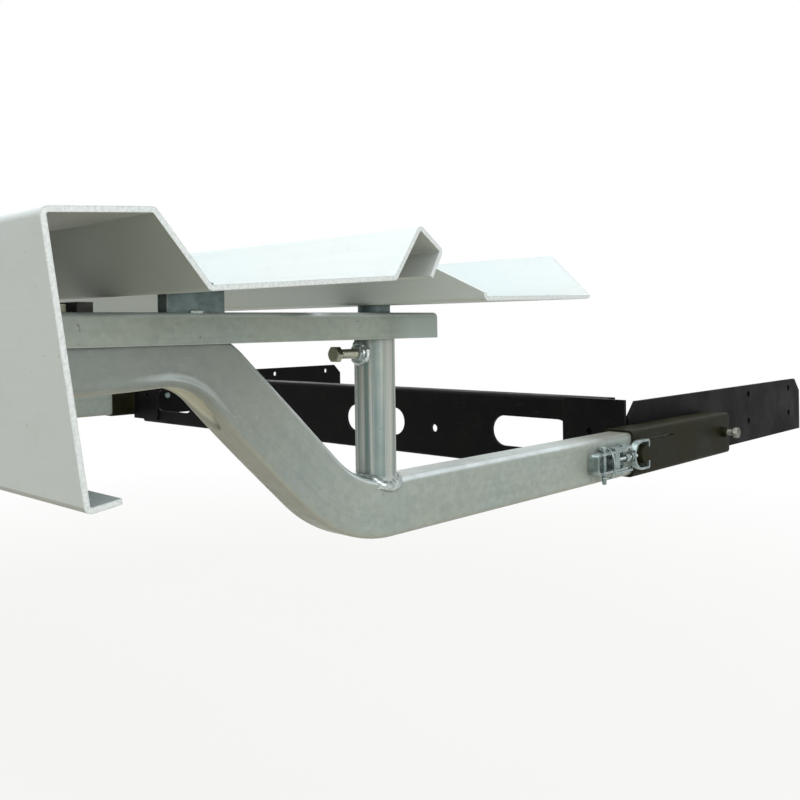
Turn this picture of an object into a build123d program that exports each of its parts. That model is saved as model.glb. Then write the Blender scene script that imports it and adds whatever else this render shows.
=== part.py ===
from build123d import *
import math
import os

# Scooter carrier for the tail of a motor caravan.
# Frame: +Y points forward along the vehicle, +X to its right and +Z up. The pieces are drawn
# with Y measured from the rear ends of the two sleeves. When a piece is saved it moves, so
# that the origin lies midway between the cross member's two round holes, on its rear face.

# Driving dimensions, millimetres
ARM_X = 730.0
ARM_H = 60.0
ARM_W = 40.0
ARM_WALL = 4.0
ARM_CORNER = 6.0
ARM_REAR_Y = -891.0
ARM_FRONT_Y = 312.0
ARM_HIGH_Z = 155.0
ARM_LOW_Z = -11.5
ARM_BEND_REAR_Y = -720.0
ARM_BEND_FRONT_Y = -544.0
ARM_BEND_R = (92.0, 140.0)

SOCKET_FIT = 0.4
SOCKET_WALL = 3.0
SOCKET_LENGTH = 324.0
SOCKET_CORNER = 6.4
SOCKET_SLOT_Y = (42.0, 122.0)
SOCKET_SLOT_Z = (4.0, 7.0)

CROSS_T = 5.0
CROSS_REAR_Y = 65.0
CROSS_HALF_LENGTH = ARM_X - 61.0
CROSS_BOTTOM_Z = -61.0
CROSS_H = 120.0
CROSS_FLANGE = 33.0
CROSS_SLOT_Z = -3.5
CROSS_SLOT_LENGTH = 157.0
CROSS_SLOT_H = 51.0
CROSS_SLOT_X = (ARM_X - 562.0, ARM_X - 200.0)
CROSS_HOLE_X = ARM_X - 410.0
CROSS_HOLE_Z = -10.0
CROSS_HOLE_R = 7.0

END_BRACKET_W = 110.0
END_BRACKET_T = 5.0
END_BRACKET_BOTTOM_Z = -53.0
END_BRACKET_CORNER = 10.0
END_BRACKET_HOLE_X = ARM_X - 85.0
END_BRACKET_HOLE_Z = 8.0
END_BRACKET_HOLE_R = 6.0

CHASSIS_T = 6.0
CHASSIS_REAR_Y = 72.0
CHASSIS_FRONT_Y = 780.0
CHASSIS_BOTTOM_Z = -49.0
CHASSIS_TOP_Z = 55.0
CHASSIS_CHAMFER = 25.0
CHASSIS_HOLE_R = 6.5
CHASSIS_HOLE_Y = 620.0
CHASSIS_HOLE_Z = 13.0
CHASSIS_PITCH_Y = 200.0
CHASSIS_PITCH_Z = 50.0
PLATE_BOLT_Y = (152.0, 252.0)
PLATE_BOLT_Z = -1.0

POST_Y = -494.0
POST_R = 21.2
POST_WALL = 3.2
TUBE_R = 16.85
TUBE_WALL = 2.6
TUBE_BOTTOM_Z = 45.0
PLUG_H = 12.0
BEAD_DROP = 7.0
BEAD_H = 11.0
BEAD_OUT = 6.5

SADDLE_WEB = 5.0
SADDLE_LEG = 4.0
SADDLE_INNER_W = 43.0
SADDLE_H = 27.0
SADDLE_CORNER = 6.0
SADDLE_REAR_Y = -893.0
SADDLE_FRONT_Y = -423.0

SHEET = 4.0
SHEET_BEND_R = 1.5
RAIL_HALF_LENGTH = 880.0
FRONT_RAIL_HALF_LENGTH = 900.0
FRONT_RAIL_TAPERS = (77.0, 62.0)

BOLT_R = 5.0
HEX_M10 = 16.0
HEX_M8 = 13.0
HEX_M6 = 10.0
BOLT_HEAD_H = 6.4
SET_BOLT_Z = 148.5
SET_HEAD_Y = -546.0
SET_BOLT_HEX = 15.0
SET_NUT_H = 8.4
SET_BEAD_R = (12.5, 8.6)
SET_BEAD_H = 6.5
CLAMP_BOLT_Y = 300.0
CLAMP_BOLT_Z = -8.0
CLAMP_HEAD_OUT = 20.0
PLAY = 0.3

LATCH_Z = -11.5
LATCH_OUT = 12.0
PIVOT_Y = -44.0
THROW = 20.0
LEVER_TAIL_Y = -120.0
LEVER_HALF_H = 14.0
LEVER_T = 3.0
LEVER_W = 14.0
CATCH_Y = 13.0
CATCH_R = 13.0
CATCH_OUT = 14.0
CLAW_INNER_R = 18.0
CLAW_T = 3.0
CLAW_W = 9.0
PIN_Y = -94.0
PIN_R = 3.0
PIN_TIP_Z = -41.0
PIN_HEAD_R = 4.8
PIN_HEAD_H = 7.0
BAIL_R = 19.3
BAIL_WIRE_R = 1.25
BAIL_TURN = -35.0
BLOCK_REAR_Y = -753.0
BLOCK_FRONT_Y = -696.0
BLOCK_OUT = 13.0
BLOCK_W = 14.0
RAIL_SCREW_Y = (-735.0, -710.0)
RAIL_SCREW_BITE = 15.0
SCREW_R = 4.0
SCREW_HEAD_R = 7.0
SCREW_HEAD_H = 4.0
PAD_REAR_Y = -828.0
PAD_FRONT_Y = -815.0
PAD_W = 30.0
PAD_H = 8.0
SADDLE_BOLT_Y = -836.0

# Outer side of the main rail's sheet, from the lip round to the return flange, as Y and Z
MAIN_RAIL_OUTLINE = [
    (-868.0, 67.0),
    (-893.0, 63.5),
    (-919.5, 250.0),
    (-842.0, 256.0),
    (-799.0, 206.0),
    (-618.5, 218.0),
    (-587.0, 263.0),
    (-556.5, 242.0),
    (-571.0, 217.0),
]

# Underside of the front rail's floor, and its rear and front walls' heights and lean
FRONT_FLOOR_REAR = (-523.0, 197.5)
FRONT_FLOOR_FRONT = (-351.0, 201.3)
FRONT_WALL_H = (38.0, 47.0)
FRONT_WALL_LEAN = math.tan(math.radians(24.0))

EAR_OUT = 20.0
BASE_REAR_Y = -88.0
BASE_FRONT_Y = -28.0
EAR_REAR_Y = -74.0
PIVOT_R = 3.0
LATCH_SCREW_Y = (-80.0, -54.0)
LATCH_SCREW_R = 3.0
BARREL_R = 6.0
ROD_R = 3.0
ROD_REAR_Y = -74.0
ROD_FRONT_Y = -7.0
CLAW_REACH = 10.0
CLAW_LIP_Z = 10.0

near_face_x = ARM_X + ARM_W / 2
socket_half_w = ARM_W / 2 + SOCKET_FIT + SOCKET_WALL
socket_half_h = ARM_H / 2 + SOCKET_FIT + SOCKET_WALL
arm_top_z = ARM_HIGH_Z + ARM_H / 2
lower_top_z = ARM_LOW_Z + ARM_H / 2
saddle_top_z = arm_top_z + SADDLE_WEB
cross_top_z = CROSS_BOTTOM_Z + CROSS_H
latch_x = near_face_x + LATCH_OUT
rail_screw_x = ARM_X + BLOCK_OUT
trunnion_y = PIVOT_Y - THROW
ear_middle = LEVER_HALF_H + 0.4 + LEVER_T / 2
bail_hinge_z = LATCH_Z + LEVER_HALF_H + PLAY + PIN_HEAD_H / 2


def block(x0, x1, y0, y1, z0, z1):
    """A box between two corners."""
    size = (x1 - x0, y1 - y0, z1 - z0)
    middle = ((x0 + x1) / 2, (y0 + y1) / 2, (z0 + z1) / 2)
    return Pos(*middle) * Box(*size)


def rod(start, direction, radius, length):
    """A cylinder from a start point along a direction."""
    plane = Plane(origin=start, z_dir=direction)
    return extrude(plane * Circle(radius), amount=length)


def hexagon(start, direction, flats, thickness, bore=0.0):
    """A bolt head or nut of a given size across flats, with an optional bore."""
    plane = Plane(origin=start, z_dir=direction)
    corner = flats / math.sqrt(3)
    body = extrude(plane * RegularPolygon(corner, 6, rotation=30), amount=thickness)
    crown = rod(start, direction, corner * 0.955, thickness)
    body = body & crown
    if bore:
        body = body - rod(start, direction, bore, thickness)
    return body


def ring(start, direction, outer, inner, length):
    """A plain washer, bush or tube."""
    return rod(start, direction, outer, length) - rod(start, direction, inner, length)


def shifted(points, distance):
    """The corner points of a polyline moved sideways, to the right of its travel."""
    moved = []
    for i, (y, z) in enumerate(points):
        normals = []
        for j in (i - 1, i):
            if 0 <= j < len(points) - 1:
                dy = points[j + 1][0] - points[j][0]
                dz = points[j + 1][1] - points[j][1]
                length = math.hypot(dy, dz)
                normals.append((dz / length, -dy / length))
        ny = sum(n[0] for n in normals)
        nz = sum(n[1] for n in normals)
        scale = distance * len(normals) / (ny * ny + nz * nz)
        moved.append((y + ny * scale, z + nz * scale))
    return moved


def folded(points, thickness, bend_radius):
    """The profile of a strip that follows a middle line of corner points, bent at a radius."""
    middle = FilletPolyline(*points, radius=bend_radius)
    left = offset(middle, amount=thickness / 2, side=Side.LEFT, closed=False).wire()
    right = offset(middle, amount=thickness / 2, side=Side.RIGHT, closed=False).wire()
    same_way = (left @ 0 - right @ 0).length < (left @ 0 - right @ 1).length
    near, far = (0, 1) if same_way else (1, 0)
    ends = [Line(left @ 0, right @ near), Line(left @ 1, right @ far)]
    return make_face(left.edges() + right.edges() + ends)


def folded_bar(points, thickness, bend_radius, half_length):
    """A folded strip whose profile lies in Y and Z, as long along X to either side."""
    profile = Plane.YZ * folded(points, thickness, bend_radius)
    return extrude(profile, amount=half_length, both=True)


def wall(points, half_length):
    """A solid whose outline in Y and Z runs through corner points, centred on X = 0."""
    outline = Plane.YZ * make_face(Polyline(*points, close=True))
    return extrude(outline, amount=half_length, both=True)


def mirrored(shape):
    """The same piece on the left side of the carrier."""
    return mirror(shape, about=Plane.YZ)


def slab_edges(solid, ends):
    """The long edges of a bent bar, which are its edges in the two side faces."""
    sides = solid.edges().filter_by(lambda e: e.bounding_box().size.X < 0.01)
    return sides.filter_by(lambda e: min(abs(e.center().Y - y) for y in ends) > 0.5)


def arm_core():
    """The arm's outer form: a square tube cranked down between its two levels."""
    middle = [
        (ARM_REAR_Y, ARM_HIGH_Z),
        (ARM_BEND_REAR_Y, ARM_HIGH_Z),
        (ARM_BEND_FRONT_Y, ARM_LOW_Z),
        (ARM_FRONT_Y, ARM_LOW_Z),
    ]
    bar = folded_bar(middle, ARM_H, ARM_BEND_R, ARM_W / 2)
    hollow = folded_bar(middle, ARM_H - 2 * ARM_WALL, ARM_BEND_R, ARM_W / 2 - ARM_WALL)
    ends = (ARM_REAR_Y, ARM_FRONT_Y)
    bar = fillet(slab_edges(bar, ends), ARM_CORNER)
    hollow = fillet(slab_edges(hollow, ends), ARM_CORNER - ARM_WALL)
    return Pos(ARM_X, 0, 0) * bar, Pos(ARM_X, 0, 0) * hollow


def make_arm(bar, hollow):
    """The cranked arm, drilled for the latch screws and the saddle bolt."""
    arm = bar - hollow
    for y in LATCH_SCREW_Y:
        start = (near_face_x + 1, y, LATCH_Z)
        arm = arm - rod(start, (-1, 0, 0), LATCH_SCREW_R + 0.1, ARM_WALL + 2)
    drilled = (ARM_X, SADDLE_BOLT_Y, arm_top_z + 1)
    return arm - rod(drilled, (0, 0, -1), SCREW_R + 0.2, ARM_WALL + 2)


def make_saddle():
    """The inverted channel that caps the arm and runs on to the top of the post."""
    half = SADDLE_INNER_W / 2 + SADDLE_LEG
    length = SADDLE_FRONT_Y - SADDLE_REAR_Y
    section = Pos(0, -SADDLE_H / 2) * Rectangle(2 * half, SADDLE_H)
    section = fillet(section.vertices().group_by(Axis.Y)[-1], SADDLE_CORNER)
    hollow_h = SADDLE_H - SADDLE_WEB
    hollow = Pos(0, -SADDLE_WEB - hollow_h / 2) * Rectangle(SADDLE_INNER_W, hollow_h)
    place = Plane(origin=(ARM_X, SADDLE_FRONT_Y, saddle_top_z), x_dir=(1, 0, 0), z_dir=(0, -1, 0))
    saddle = extrude(place * (section - hollow), amount=length)
    tube_hole = (ARM_X, POST_Y, saddle_top_z + 1)
    saddle = saddle - rod(tube_hole, (0, 0, -1), TUBE_R + 0.6, SADDLE_WEB + 2)
    bolt_hole = (ARM_X, SADDLE_BOLT_Y, saddle_top_z + 1)
    return saddle - rod(bolt_hole, (0, 0, -1), SCREW_R + 0.2, SADDLE_WEB + 2)


def make_post(bar):
    """The post, coped over the arm's rounded top, with its weld bead and the set bolt's hole."""
    foot_z = lower_top_z - 12
    height = arm_top_z - foot_z
    post = ring((ARM_X, POST_Y, foot_z), (0, 0, 1), POST_R, POST_R - POST_WALL, height)
    bead_z = lower_top_z - BEAD_DROP
    stand = (Align.CENTER, Align.CENTER, Align.MIN)
    bead = Cone(POST_R + BEAD_OUT, POST_R, BEAD_H, align=stand)
    bead = bead - Cylinder(POST_R - 0.5, BEAD_H, align=stand)
    post = post + Pos(ARM_X, POST_Y, bead_z) * bead
    trim = block(ARM_X - 40, ARM_X + 40, POST_Y - 40, POST_Y + 40, foot_z - 1, bead_z)
    post = post - trim - bar
    start = (ARM_X, POST_Y, SET_BOLT_Z)
    return post - rod(start, (0, -1, 0), BOLT_R + 0.4, POST_R + 5)


def make_set_nut():
    """The nut for the set bolt, welded to the back of the post with a round bead."""
    face_y = POST_Y - POST_R
    nut_foot = (ARM_X, face_y + 1.5, SET_BOLT_Z)
    nut = hexagon(nut_foot, (0, -1, 0), SET_BOLT_HEX, SET_NUT_H, BOLT_R + 0.05)
    bead_plane = Plane(origin=(ARM_X, face_y + 3.5, SET_BOLT_Z), z_dir=(0, -1, 0))
    bead = Cone(*SET_BEAD_R, SET_BEAD_H, align=(Align.CENTER, Align.CENTER, Align.MIN))
    bead = bead_plane * bead - rod((ARM_X, face_y + 5, SET_BOLT_Z), (0, -1, 0), BOLT_R + 0.4, 12)
    tube = rod((ARM_X, POST_Y, SET_BOLT_Z - 20), (0, 0, 1), POST_R, 40)
    return nut + bead - tube


def make_set_bolt():
    """The hexagon bolt that clamps the levelling tube."""
    tip_y = POST_Y - TUBE_R - PLAY
    length = tip_y - SET_HEAD_Y
    shank = rod((ARM_X, SET_HEAD_Y, SET_BOLT_Z), (0, 1, 0), BOLT_R, length)
    shank = chamfer(shank.edges().group_by(Axis.Y)[-1], 1.2)
    head = hexagon((ARM_X, SET_HEAD_Y, SET_BOLT_Z), (0, -1, 0), SET_BOLT_HEX, BOLT_HEAD_H)
    return shank + head


def make_levelling_tube(above):
    """The tube that slides in the post, cut off to the slope of the front rail's floor."""
    height = saddle_top_z + 30 - TUBE_BOTTOM_Z
    start = (ARM_X, POST_Y, TUBE_BOTTOM_Z)
    return ring(start, (0, 0, 1), TUBE_R, TUBE_R - TUBE_WALL, height) - above


def make_tube_plug(above):
    """The threaded plug welded into the top of the levelling tube."""
    floor_z = front_floor_z(POST_Y)
    start = (ARM_X, POST_Y, floor_z - PLUG_H)
    plug = rod(start, (0, 0, 1), TUBE_R - TUBE_WALL, PLUG_H + 10) - above
    return plug - rod(start, (0, 0, 1), SCREW_R + 0.05, PLUG_H + 10)


def front_floor_z(y):
    """The height of the front rail's underside."""
    (y0, z0), (y1, z1) = FRONT_FLOOR_REAR, FRONT_FLOOR_FRONT
    return z0 + (z1 - z0) * (y - y0) / (y1 - y0)


def main_floor_z(y):
    """The height of the main rail's underside."""
    (y0, z0), (y1, z1) = MAIN_RAIL_OUTLINE[4:6]
    slope = (z1 - z0) / (y1 - y0)
    return z0 + slope * (y - y0) - SHEET * math.hypot(1, slope)


def main_floor_normal():
    """The upward direction square to the main rail's floor."""
    (y0, z0), (y1, z1) = MAIN_RAIL_OUTLINE[4:6]
    length = math.hypot(y1 - y0, z1 - z0)
    return (0.0, -(z1 - z0) / length, (y1 - y0) / length)


def main_floor_axis(y, rise):
    """A point on a screw's line through the main rail's underside at y, raised along it."""
    normal = main_floor_normal()
    return (y + normal[1] * rise, main_floor_z(y) + normal[2] * rise)


def screw(seat, direction, radius, length, head_r, head_h):
    """A round-headed screw, its head standing on the seat and its shank going back."""
    back = tuple(-c for c in direction)
    head = rod(seat, direction, head_r, head_h)
    head = fillet(head.edges().sort_by_distance(seat)[-1], head_h * 0.6)
    socket = rod(seat, direction, radius * 0.6, head_h + 1)
    lift = tuple(s + c * head_h * 0.45 for s, c in zip(seat, direction))
    socket = socket & rod(lift, direction, radius, head_h)
    return head - socket + rod(seat, back, radius, length)


def make_wheel_rail():
    """The main wheel channel with its skirt, folded from one sheet and drilled for its screws."""
    middle = shifted(MAIN_RAIL_OUTLINE, SHEET / 2)
    bend = SHEET_BEND_R + SHEET / 2
    rail = folded_bar(middle, SHEET, bend, RAIL_HALF_LENGTH)
    for x in (-rail_screw_x, rail_screw_x):
        for y in RAIL_SCREW_Y:
            seat = (x, *main_floor_axis(y, -2))
            rail = rail - rod(seat, main_floor_normal(), SCREW_R + 0.2, SHEET + 6)
    return rail


def make_rail_screws():
    """The four screws that hold the main rail down on its blocks."""
    normal = main_floor_normal()
    screws = []
    length = SHEET + RAIL_SCREW_BITE
    for x in (-rail_screw_x, rail_screw_x):
        for y in RAIL_SCREW_Y:
            seat = (x, *main_floor_axis(y, SHEET))
            screws.append(screw(seat, normal, SCREW_R, length, SCREW_HEAD_R, SCREW_HEAD_H))
    return Compound(screws)


def make_support_block():
    """The wedge block between the saddle and the tilted floor of the main rail."""
    outline = [
        (BLOCK_REAR_Y, saddle_top_z),
        (BLOCK_FRONT_Y, saddle_top_z),
        (BLOCK_FRONT_Y, main_floor_z(BLOCK_FRONT_Y)),
        (BLOCK_REAR_Y, main_floor_z(BLOCK_REAR_Y)),
    ]
    wedge = Pos(rail_screw_x, 0, 0) * wall(outline, BLOCK_W / 2)
    down = tuple(-c for c in main_floor_normal())
    for y in RAIL_SCREW_Y:
        start = (rail_screw_x, *main_floor_axis(y, 2))
        wedge = wedge - rod(start, down, SCREW_R + 0.05, 2 * RAIL_SCREW_BITE)
    return wedge


def make_front_rail():
    """The front channel, its walls cut away obliquely towards both ends."""
    (y0, z0), (y1, z1) = FRONT_FLOOR_REAR, FRONT_FLOOR_FRONT
    rear_h, front_h = FRONT_WALL_H
    under = [
        (y0 - rear_h * FRONT_WALL_LEAN, z0 + rear_h),
        (y0, z0),
        (y1, z1),
        (y1 + front_h * FRONT_WALL_LEAN, z1 + front_h),
    ]
    bend = SHEET_BEND_R + SHEET / 2
    rail = folded_bar(shifted(under, -SHEET / 2), SHEET, bend, FRONT_RAIL_HALF_LENGTH)
    depth = y1 - y0
    for height, run, reach in zip(FRONT_WALL_H, FRONT_RAIL_TAPERS, (depth, -depth)):
        taper = wall_taper(z1 + SHEET, height, run, (y0 + y1) / 2, reach)
        rail = rail - taper - mirrored(taper)
    for x in (-ARM_X, ARM_X):
        rail = rail - rod((x, POST_Y, z0 - 5), (0, 0, 1), SCREW_R + 0.2, 20)
    return rail


def wall_taper(start_z, height, run, middle_y, depth):
    """The corner cut from one wall's end: a rising edge, carried back from middle_y by depth."""
    tip_x = FRONT_RAIL_HALF_LENGTH
    top_z = start_z + height
    corner = Polyline(
        (tip_x, start_z),
        (tip_x + 5, start_z),
        (tip_x + 5, top_z),
        (tip_x - run, top_z),
        close=True,
    )
    place = Plane(origin=(0, middle_y, 0), x_dir=(1, 0, 0), z_dir=(0, -1, 0))
    return extrude(place * make_face(corner), amount=depth)


def make_front_screws():
    """The two screws that hold the front rail on its levelling tubes."""
    screws = []
    for x in (-ARM_X, ARM_X):
        seat = (x, POST_Y, front_floor_z(POST_Y) + SHEET + 0.15)
        length = SHEET + PLUG_H - 2
        screws.append(screw(seat, (0, 0, 1), SCREW_R, length, SCREW_HEAD_R, SCREW_HEAD_H))
    return Compound(screws)


def make_pads():
    """The two dark pads that lie on the saddles behind the rail's blocks."""
    pads = []
    for x in (-ARM_X, ARM_X):
        x0, x1 = x - PAD_W / 2, x + PAD_W / 2
        pads.append(block(x0, x1, PAD_REAR_Y, PAD_FRONT_Y, saddle_top_z, saddle_top_z + PAD_H))
    return Compound(pads)


def make_saddle_bolts():
    """The bolts that hold the saddles down on the arms, each with its nut inside the arm."""
    bolts = []
    for x in (-ARM_X, ARM_X):
        seat = (x, SADDLE_BOLT_Y, saddle_top_z)
        head = hexagon(seat, (0, 0, 1), HEX_M8, BOLT_HEAD_H)
        shank = rod(seat, (0, 0, -1), SCREW_R, 25)
        nut_seat = (x, SADDLE_BOLT_Y, arm_top_z - ARM_WALL)
        bolts.append(head + shank + hexagon(nut_seat, (0, 0, -1), HEX_M8, BOLT_HEAD_H))
    return Compound(bolts)


def make_cross_member():
    """The pressed channel between the two sockets, with four oval slots and two round holes."""
    low, high = CROSS_BOTTOM_Z + CROSS_T / 2, cross_top_z - CROSS_T / 2
    web_y = CROSS_REAR_Y + CROSS_T / 2
    lip_y = CROSS_REAR_Y + CROSS_FLANGE
    middle = [(lip_y, low), (web_y, low), (web_y, high), (lip_y, high)]
    member = folded_bar(middle, CROSS_T, 5.0, CROSS_HALF_LENGTH)
    web = Plane(origin=(0, CROSS_REAR_Y - 1, 0), x_dir=(1, 0, 0), z_dir=(0, -1, 0))
    cuts = Sketch()
    for side in (-1, 1):
        for x in CROSS_SLOT_X:
            slot = SlotOverall(CROSS_SLOT_LENGTH, CROSS_SLOT_H)
            cuts += Pos(side * x, CROSS_SLOT_Z) * slot
        cuts += Pos(side * CROSS_HOLE_X, CROSS_HOLE_Z) * Circle(CROSS_HOLE_R)
    return member - extrude(web * cuts, amount=-(CROSS_T + 2))


def make_end_bracket():
    """The plate that joins the cross member's end to the socket, with one round hole."""
    x1 = ARM_X - socket_half_w
    y0 = CROSS_REAR_Y - END_BRACKET_T
    plate = block(x1 - END_BRACKET_W, x1, y0, CROSS_REAR_Y, END_BRACKET_BOTTOM_Z, cross_top_z)
    inner = plate.edges().filter_by(Axis.Y).group_by(Axis.X)[0]
    plate = fillet(inner, END_BRACKET_CORNER)
    start = (END_BRACKET_HOLE_X, y0 - 1, END_BRACKET_HOLE_Z)
    return plate - rod(start, (0, 1, 0), END_BRACKET_HOLE_R, END_BRACKET_T + 2)


def make_socket():
    """The black sleeve that takes the arm, slotted in its near wall."""
    outer = RectangleRounded(2 * socket_half_w, 2 * socket_half_h, SOCKET_CORNER)
    inner_w = 2 * (socket_half_w - SOCKET_WALL)
    inner_h = 2 * (socket_half_h - SOCKET_WALL)
    inner = RectangleRounded(inner_w, inner_h, ARM_CORNER - 1)
    place = Plane(origin=(ARM_X, 0, ARM_LOW_Z), x_dir=(1, 0, 0), z_dir=(0, -1, 0))
    sleeve = extrude(place * (outer - inner), amount=-SOCKET_LENGTH)
    face = ARM_X + socket_half_w
    sleeve = sleeve - block(face - SOCKET_WALL - 1, face + 1, *SOCKET_SLOT_Y, *SOCKET_SLOT_Z)
    bolt = (face + 1, CLAMP_BOLT_Y, CLAMP_BOLT_Z)
    sleeve = sleeve - rod(bolt, (-1, 0, 0), BOLT_R + 0.3, SOCKET_WALL + 2)
    return sleeve - plate_bolt_holes()


def make_chassis_plate():
    """The plate on the socket's inner side that bolts to the vehicle's frame."""
    x1 = ARM_X - socket_half_w
    x0 = x1 - CHASSIS_T
    plate = block(x0, x1, CHASSIS_REAR_Y, CHASSIS_FRONT_Y, CHASSIS_BOTTOM_Z, CHASSIS_TOP_Z)
    corners = plate.edges().filter_by(Axis.X).group_by(Axis.Z)[-1]
    plate = chamfer(corners, CHASSIS_CHAMFER)
    for side_y in (-0.5, 0.5):
        for side_z in (-0.5, 0.5):
            y = CHASSIS_HOLE_Y + side_y * CHASSIS_PITCH_Y
            z = CHASSIS_HOLE_Z + side_z * CHASSIS_PITCH_Z
            plate = plate - rod((x0 - 1, y, z), (1, 0, 0), CHASSIS_HOLE_R, CHASSIS_T + 2)
    return plate - plate_bolt_holes()


def plate_bolt_seats():
    """Where the heads of the bolts stand that join a chassis plate to its socket."""
    x = ARM_X - socket_half_w - CHASSIS_T
    return [(x, y, PLATE_BOLT_Z) for y in PLATE_BOLT_Y]


def plate_bolt_holes():
    """The holes for those bolts, through the plate and the socket's wall."""
    depth = CHASSIS_T + SOCKET_WALL
    return Compound([rod(seat, (1, 0, 0), SCREW_R + 0.05, depth) for seat in plate_bolt_seats()])


def make_plate_bolts():
    """The bolts that join a chassis plate to its socket, screwed into the socket's wall."""
    bolts = []
    for seat in plate_bolt_seats():
        shank = rod(seat, (1, 0, 0), SCREW_R, CHASSIS_T + SOCKET_WALL)
        bolts.append(shank + hexagon(seat, (-1, 0, 0), HEX_M8, BOLT_HEAD_H))
    return Compound(bolts)


def make_clamp_nut():
    """The nut welded on the socket's near face."""
    seat = (ARM_X + socket_half_w, CLAMP_BOLT_Y, CLAMP_BOLT_Z)
    return hexagon(seat, (1, 0, 0), HEX_M10, 8.0, BOLT_R + 0.05)


def make_clamp_bolt():
    """The bolt that presses on the arm inside the socket."""
    face = ARM_X + socket_half_w
    head_x = face + CLAMP_HEAD_OUT
    tip_x = near_face_x + PLAY
    shank = rod((tip_x, CLAMP_BOLT_Y, CLAMP_BOLT_Z), (1, 0, 0), BOLT_R, head_x - tip_x)
    shank = chamfer(shank.edges().group_by(Axis.X)[0], 1.2)
    head = hexagon((head_x, CLAMP_BOLT_Y, CLAMP_BOLT_Z), (1, 0, 0), HEX_M10, BOLT_HEAD_H)
    return shank + head


def make_catch():
    """The round stud on the socket that the claw draws against."""
    face = ARM_X + socket_half_w
    stud = rod((face, CATCH_Y, LATCH_Z), (1, 0, 0), CATCH_R, CATCH_OUT)
    return fillet(stud.edges().group_by(Axis.X)[-1], 1.5)


def make_latch_base():
    """The latch's channel: a back plate on the arm with an ear above and below the lever."""
    low, high = LATCH_Z - ear_middle, LATCH_Z + ear_middle
    back_x = near_face_x + LEVER_T / 2
    tip_x = near_face_x + EAR_OUT
    section = folded([(tip_x, low), (back_x, low), (back_x, high), (tip_x, high)], LEVER_T, 2.5)
    place = Plane(origin=(0, BASE_REAR_Y, 0), x_dir=(1, 0, 0), z_dir=(0, -1, 0))
    base = extrude(place * section, amount=-(BASE_FRONT_Y - BASE_REAR_Y))
    outer_x = near_face_x + LEVER_T
    tail = block(outer_x, outer_x + 40, BASE_REAR_Y - 1, EAR_REAR_Y, LATCH_Z - 30, LATCH_Z + 30)
    base = base - tail
    corners = base.edges().filter_by(Axis.Z).group_by(Axis.X)[-1]
    base = fillet(corners, 5.0)
    base = base - rod((latch_x, PIVOT_Y, LATCH_Z - 30), (0, 0, 1), PIVOT_R + 0.02, 60)
    for y in LATCH_SCREW_Y:
        base = base - rod((near_face_x - 1, y, LATCH_Z), (1, 0, 0), LATCH_SCREW_R + 0.1, 10)
    return base


def make_pivot_rivets():
    """The two short rivets that the lever turns on, one in each ear."""
    rivets = []
    outer = ear_middle + LEVER_T / 2
    inner = LEVER_HALF_H - LEVER_T - 0.2
    for side in (-1, 1):
        foot = (latch_x, PIVOT_Y, LATCH_Z + side * (inner - 1.2))
        shank = rod(foot, (0, 0, side), PIVOT_R, outer - inner + 2.4)
        inner_head = rod(foot, (0, 0, side), PIVOT_R + 1.2, 1.2)
        crown_seat = (latch_x, PIVOT_Y, LATCH_Z + side * outer)
        crown = rod(crown_seat, (0, 0, side), PIVOT_R + 1.8, 1.6)
        rivets.append(shank + inner_head + crown)
    return Compound(rivets)


def make_latch_screws():
    """The screws that hold the latch's back plate on the arm."""
    seat_x = near_face_x + LEVER_T
    return Compound(
        [
            screw((seat_x, y, LATCH_Z), (1, 0, 0), LATCH_SCREW_R, 12.0, 4.6, 2.2)
            for y in LATCH_SCREW_Y
        ]
    )


def make_lever():
    """The latch lever: one strap folded round into two cheeks and a closed tail."""
    mid = LEVER_HALF_H - LEVER_T / 2
    nose_y = PIVOT_Y + LEVER_W / 2
    tail_y = LEVER_TAIL_Y + LEVER_T / 2
    middle = [
        (nose_y, LATCH_Z + mid),
        (tail_y, LATCH_Z + mid),
        (tail_y, LATCH_Z - mid),
        (nose_y, LATCH_Z - mid),
    ]
    lever = Pos(latch_x, 0, 0) * folded_bar(middle, LEVER_T, 6.0, LEVER_W / 2)
    nose = lever.edges().filter_by(Axis.Z).group_by(Axis.Y)[-1]
    lever = fillet(nose, LEVER_W / 2 - 0.05)
    holes = ((PIVOT_Y, PIVOT_R + 0.05), (trunnion_y, PIVOT_R + 0.05), (PIN_Y, PIN_R + 0.3))
    for y, radius in holes:
        lever = lever - rod((latch_x, y, LATCH_Z - 30), (0, 0, 1), radius, 60)
    return lever


def make_trunnion():
    """The barrel that carries the draw rod across the lever."""
    half = LEVER_HALF_H - LEVER_T - 0.3
    barrel = rod((latch_x, trunnion_y, LATCH_Z - half), (0, 0, 1), BARREL_R, 2 * half)
    journal = LEVER_HALF_H + 0.1
    barrel += rod((latch_x, trunnion_y, LATCH_Z - journal), (0, 0, 1), PIVOT_R, 2 * journal)
    cross = (latch_x, trunnion_y - 10, LATCH_Z)
    return barrel - rod(cross, (0, 1, 0), ROD_R + 0.05, 20)


def make_draw_rod():
    """The threaded rod between the trunnion and the claw."""
    length = ROD_FRONT_Y - ROD_REAR_Y
    bar = rod((latch_x, ROD_REAR_Y, LATCH_Z), (0, 1, 0), ROD_R, length)
    return chamfer(bar.edges(), 0.6)


def make_rod_nuts():
    """The lock nuts and washer on the draw rod."""
    back_y = CATCH_Y - CLAW_REACH - CLAW_INNER_R - CLAW_T
    washer = ring((latch_x, back_y - 1.2, LATCH_Z), (0, 1, 0), 5.8, ROD_R + 0.1, 1.2)
    lock = hexagon((latch_x, back_y - 6.2, LATCH_Z), (0, 1, 0), HEX_M6, 5.0, ROD_R + 0.1)
    coupling = hexagon((latch_x, PIVOT_Y + 4, LATCH_Z), (0, 1, 0), HEX_M6, 10.0, ROD_R + 0.1)
    return Compound([washer, lock, coupling])


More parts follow.
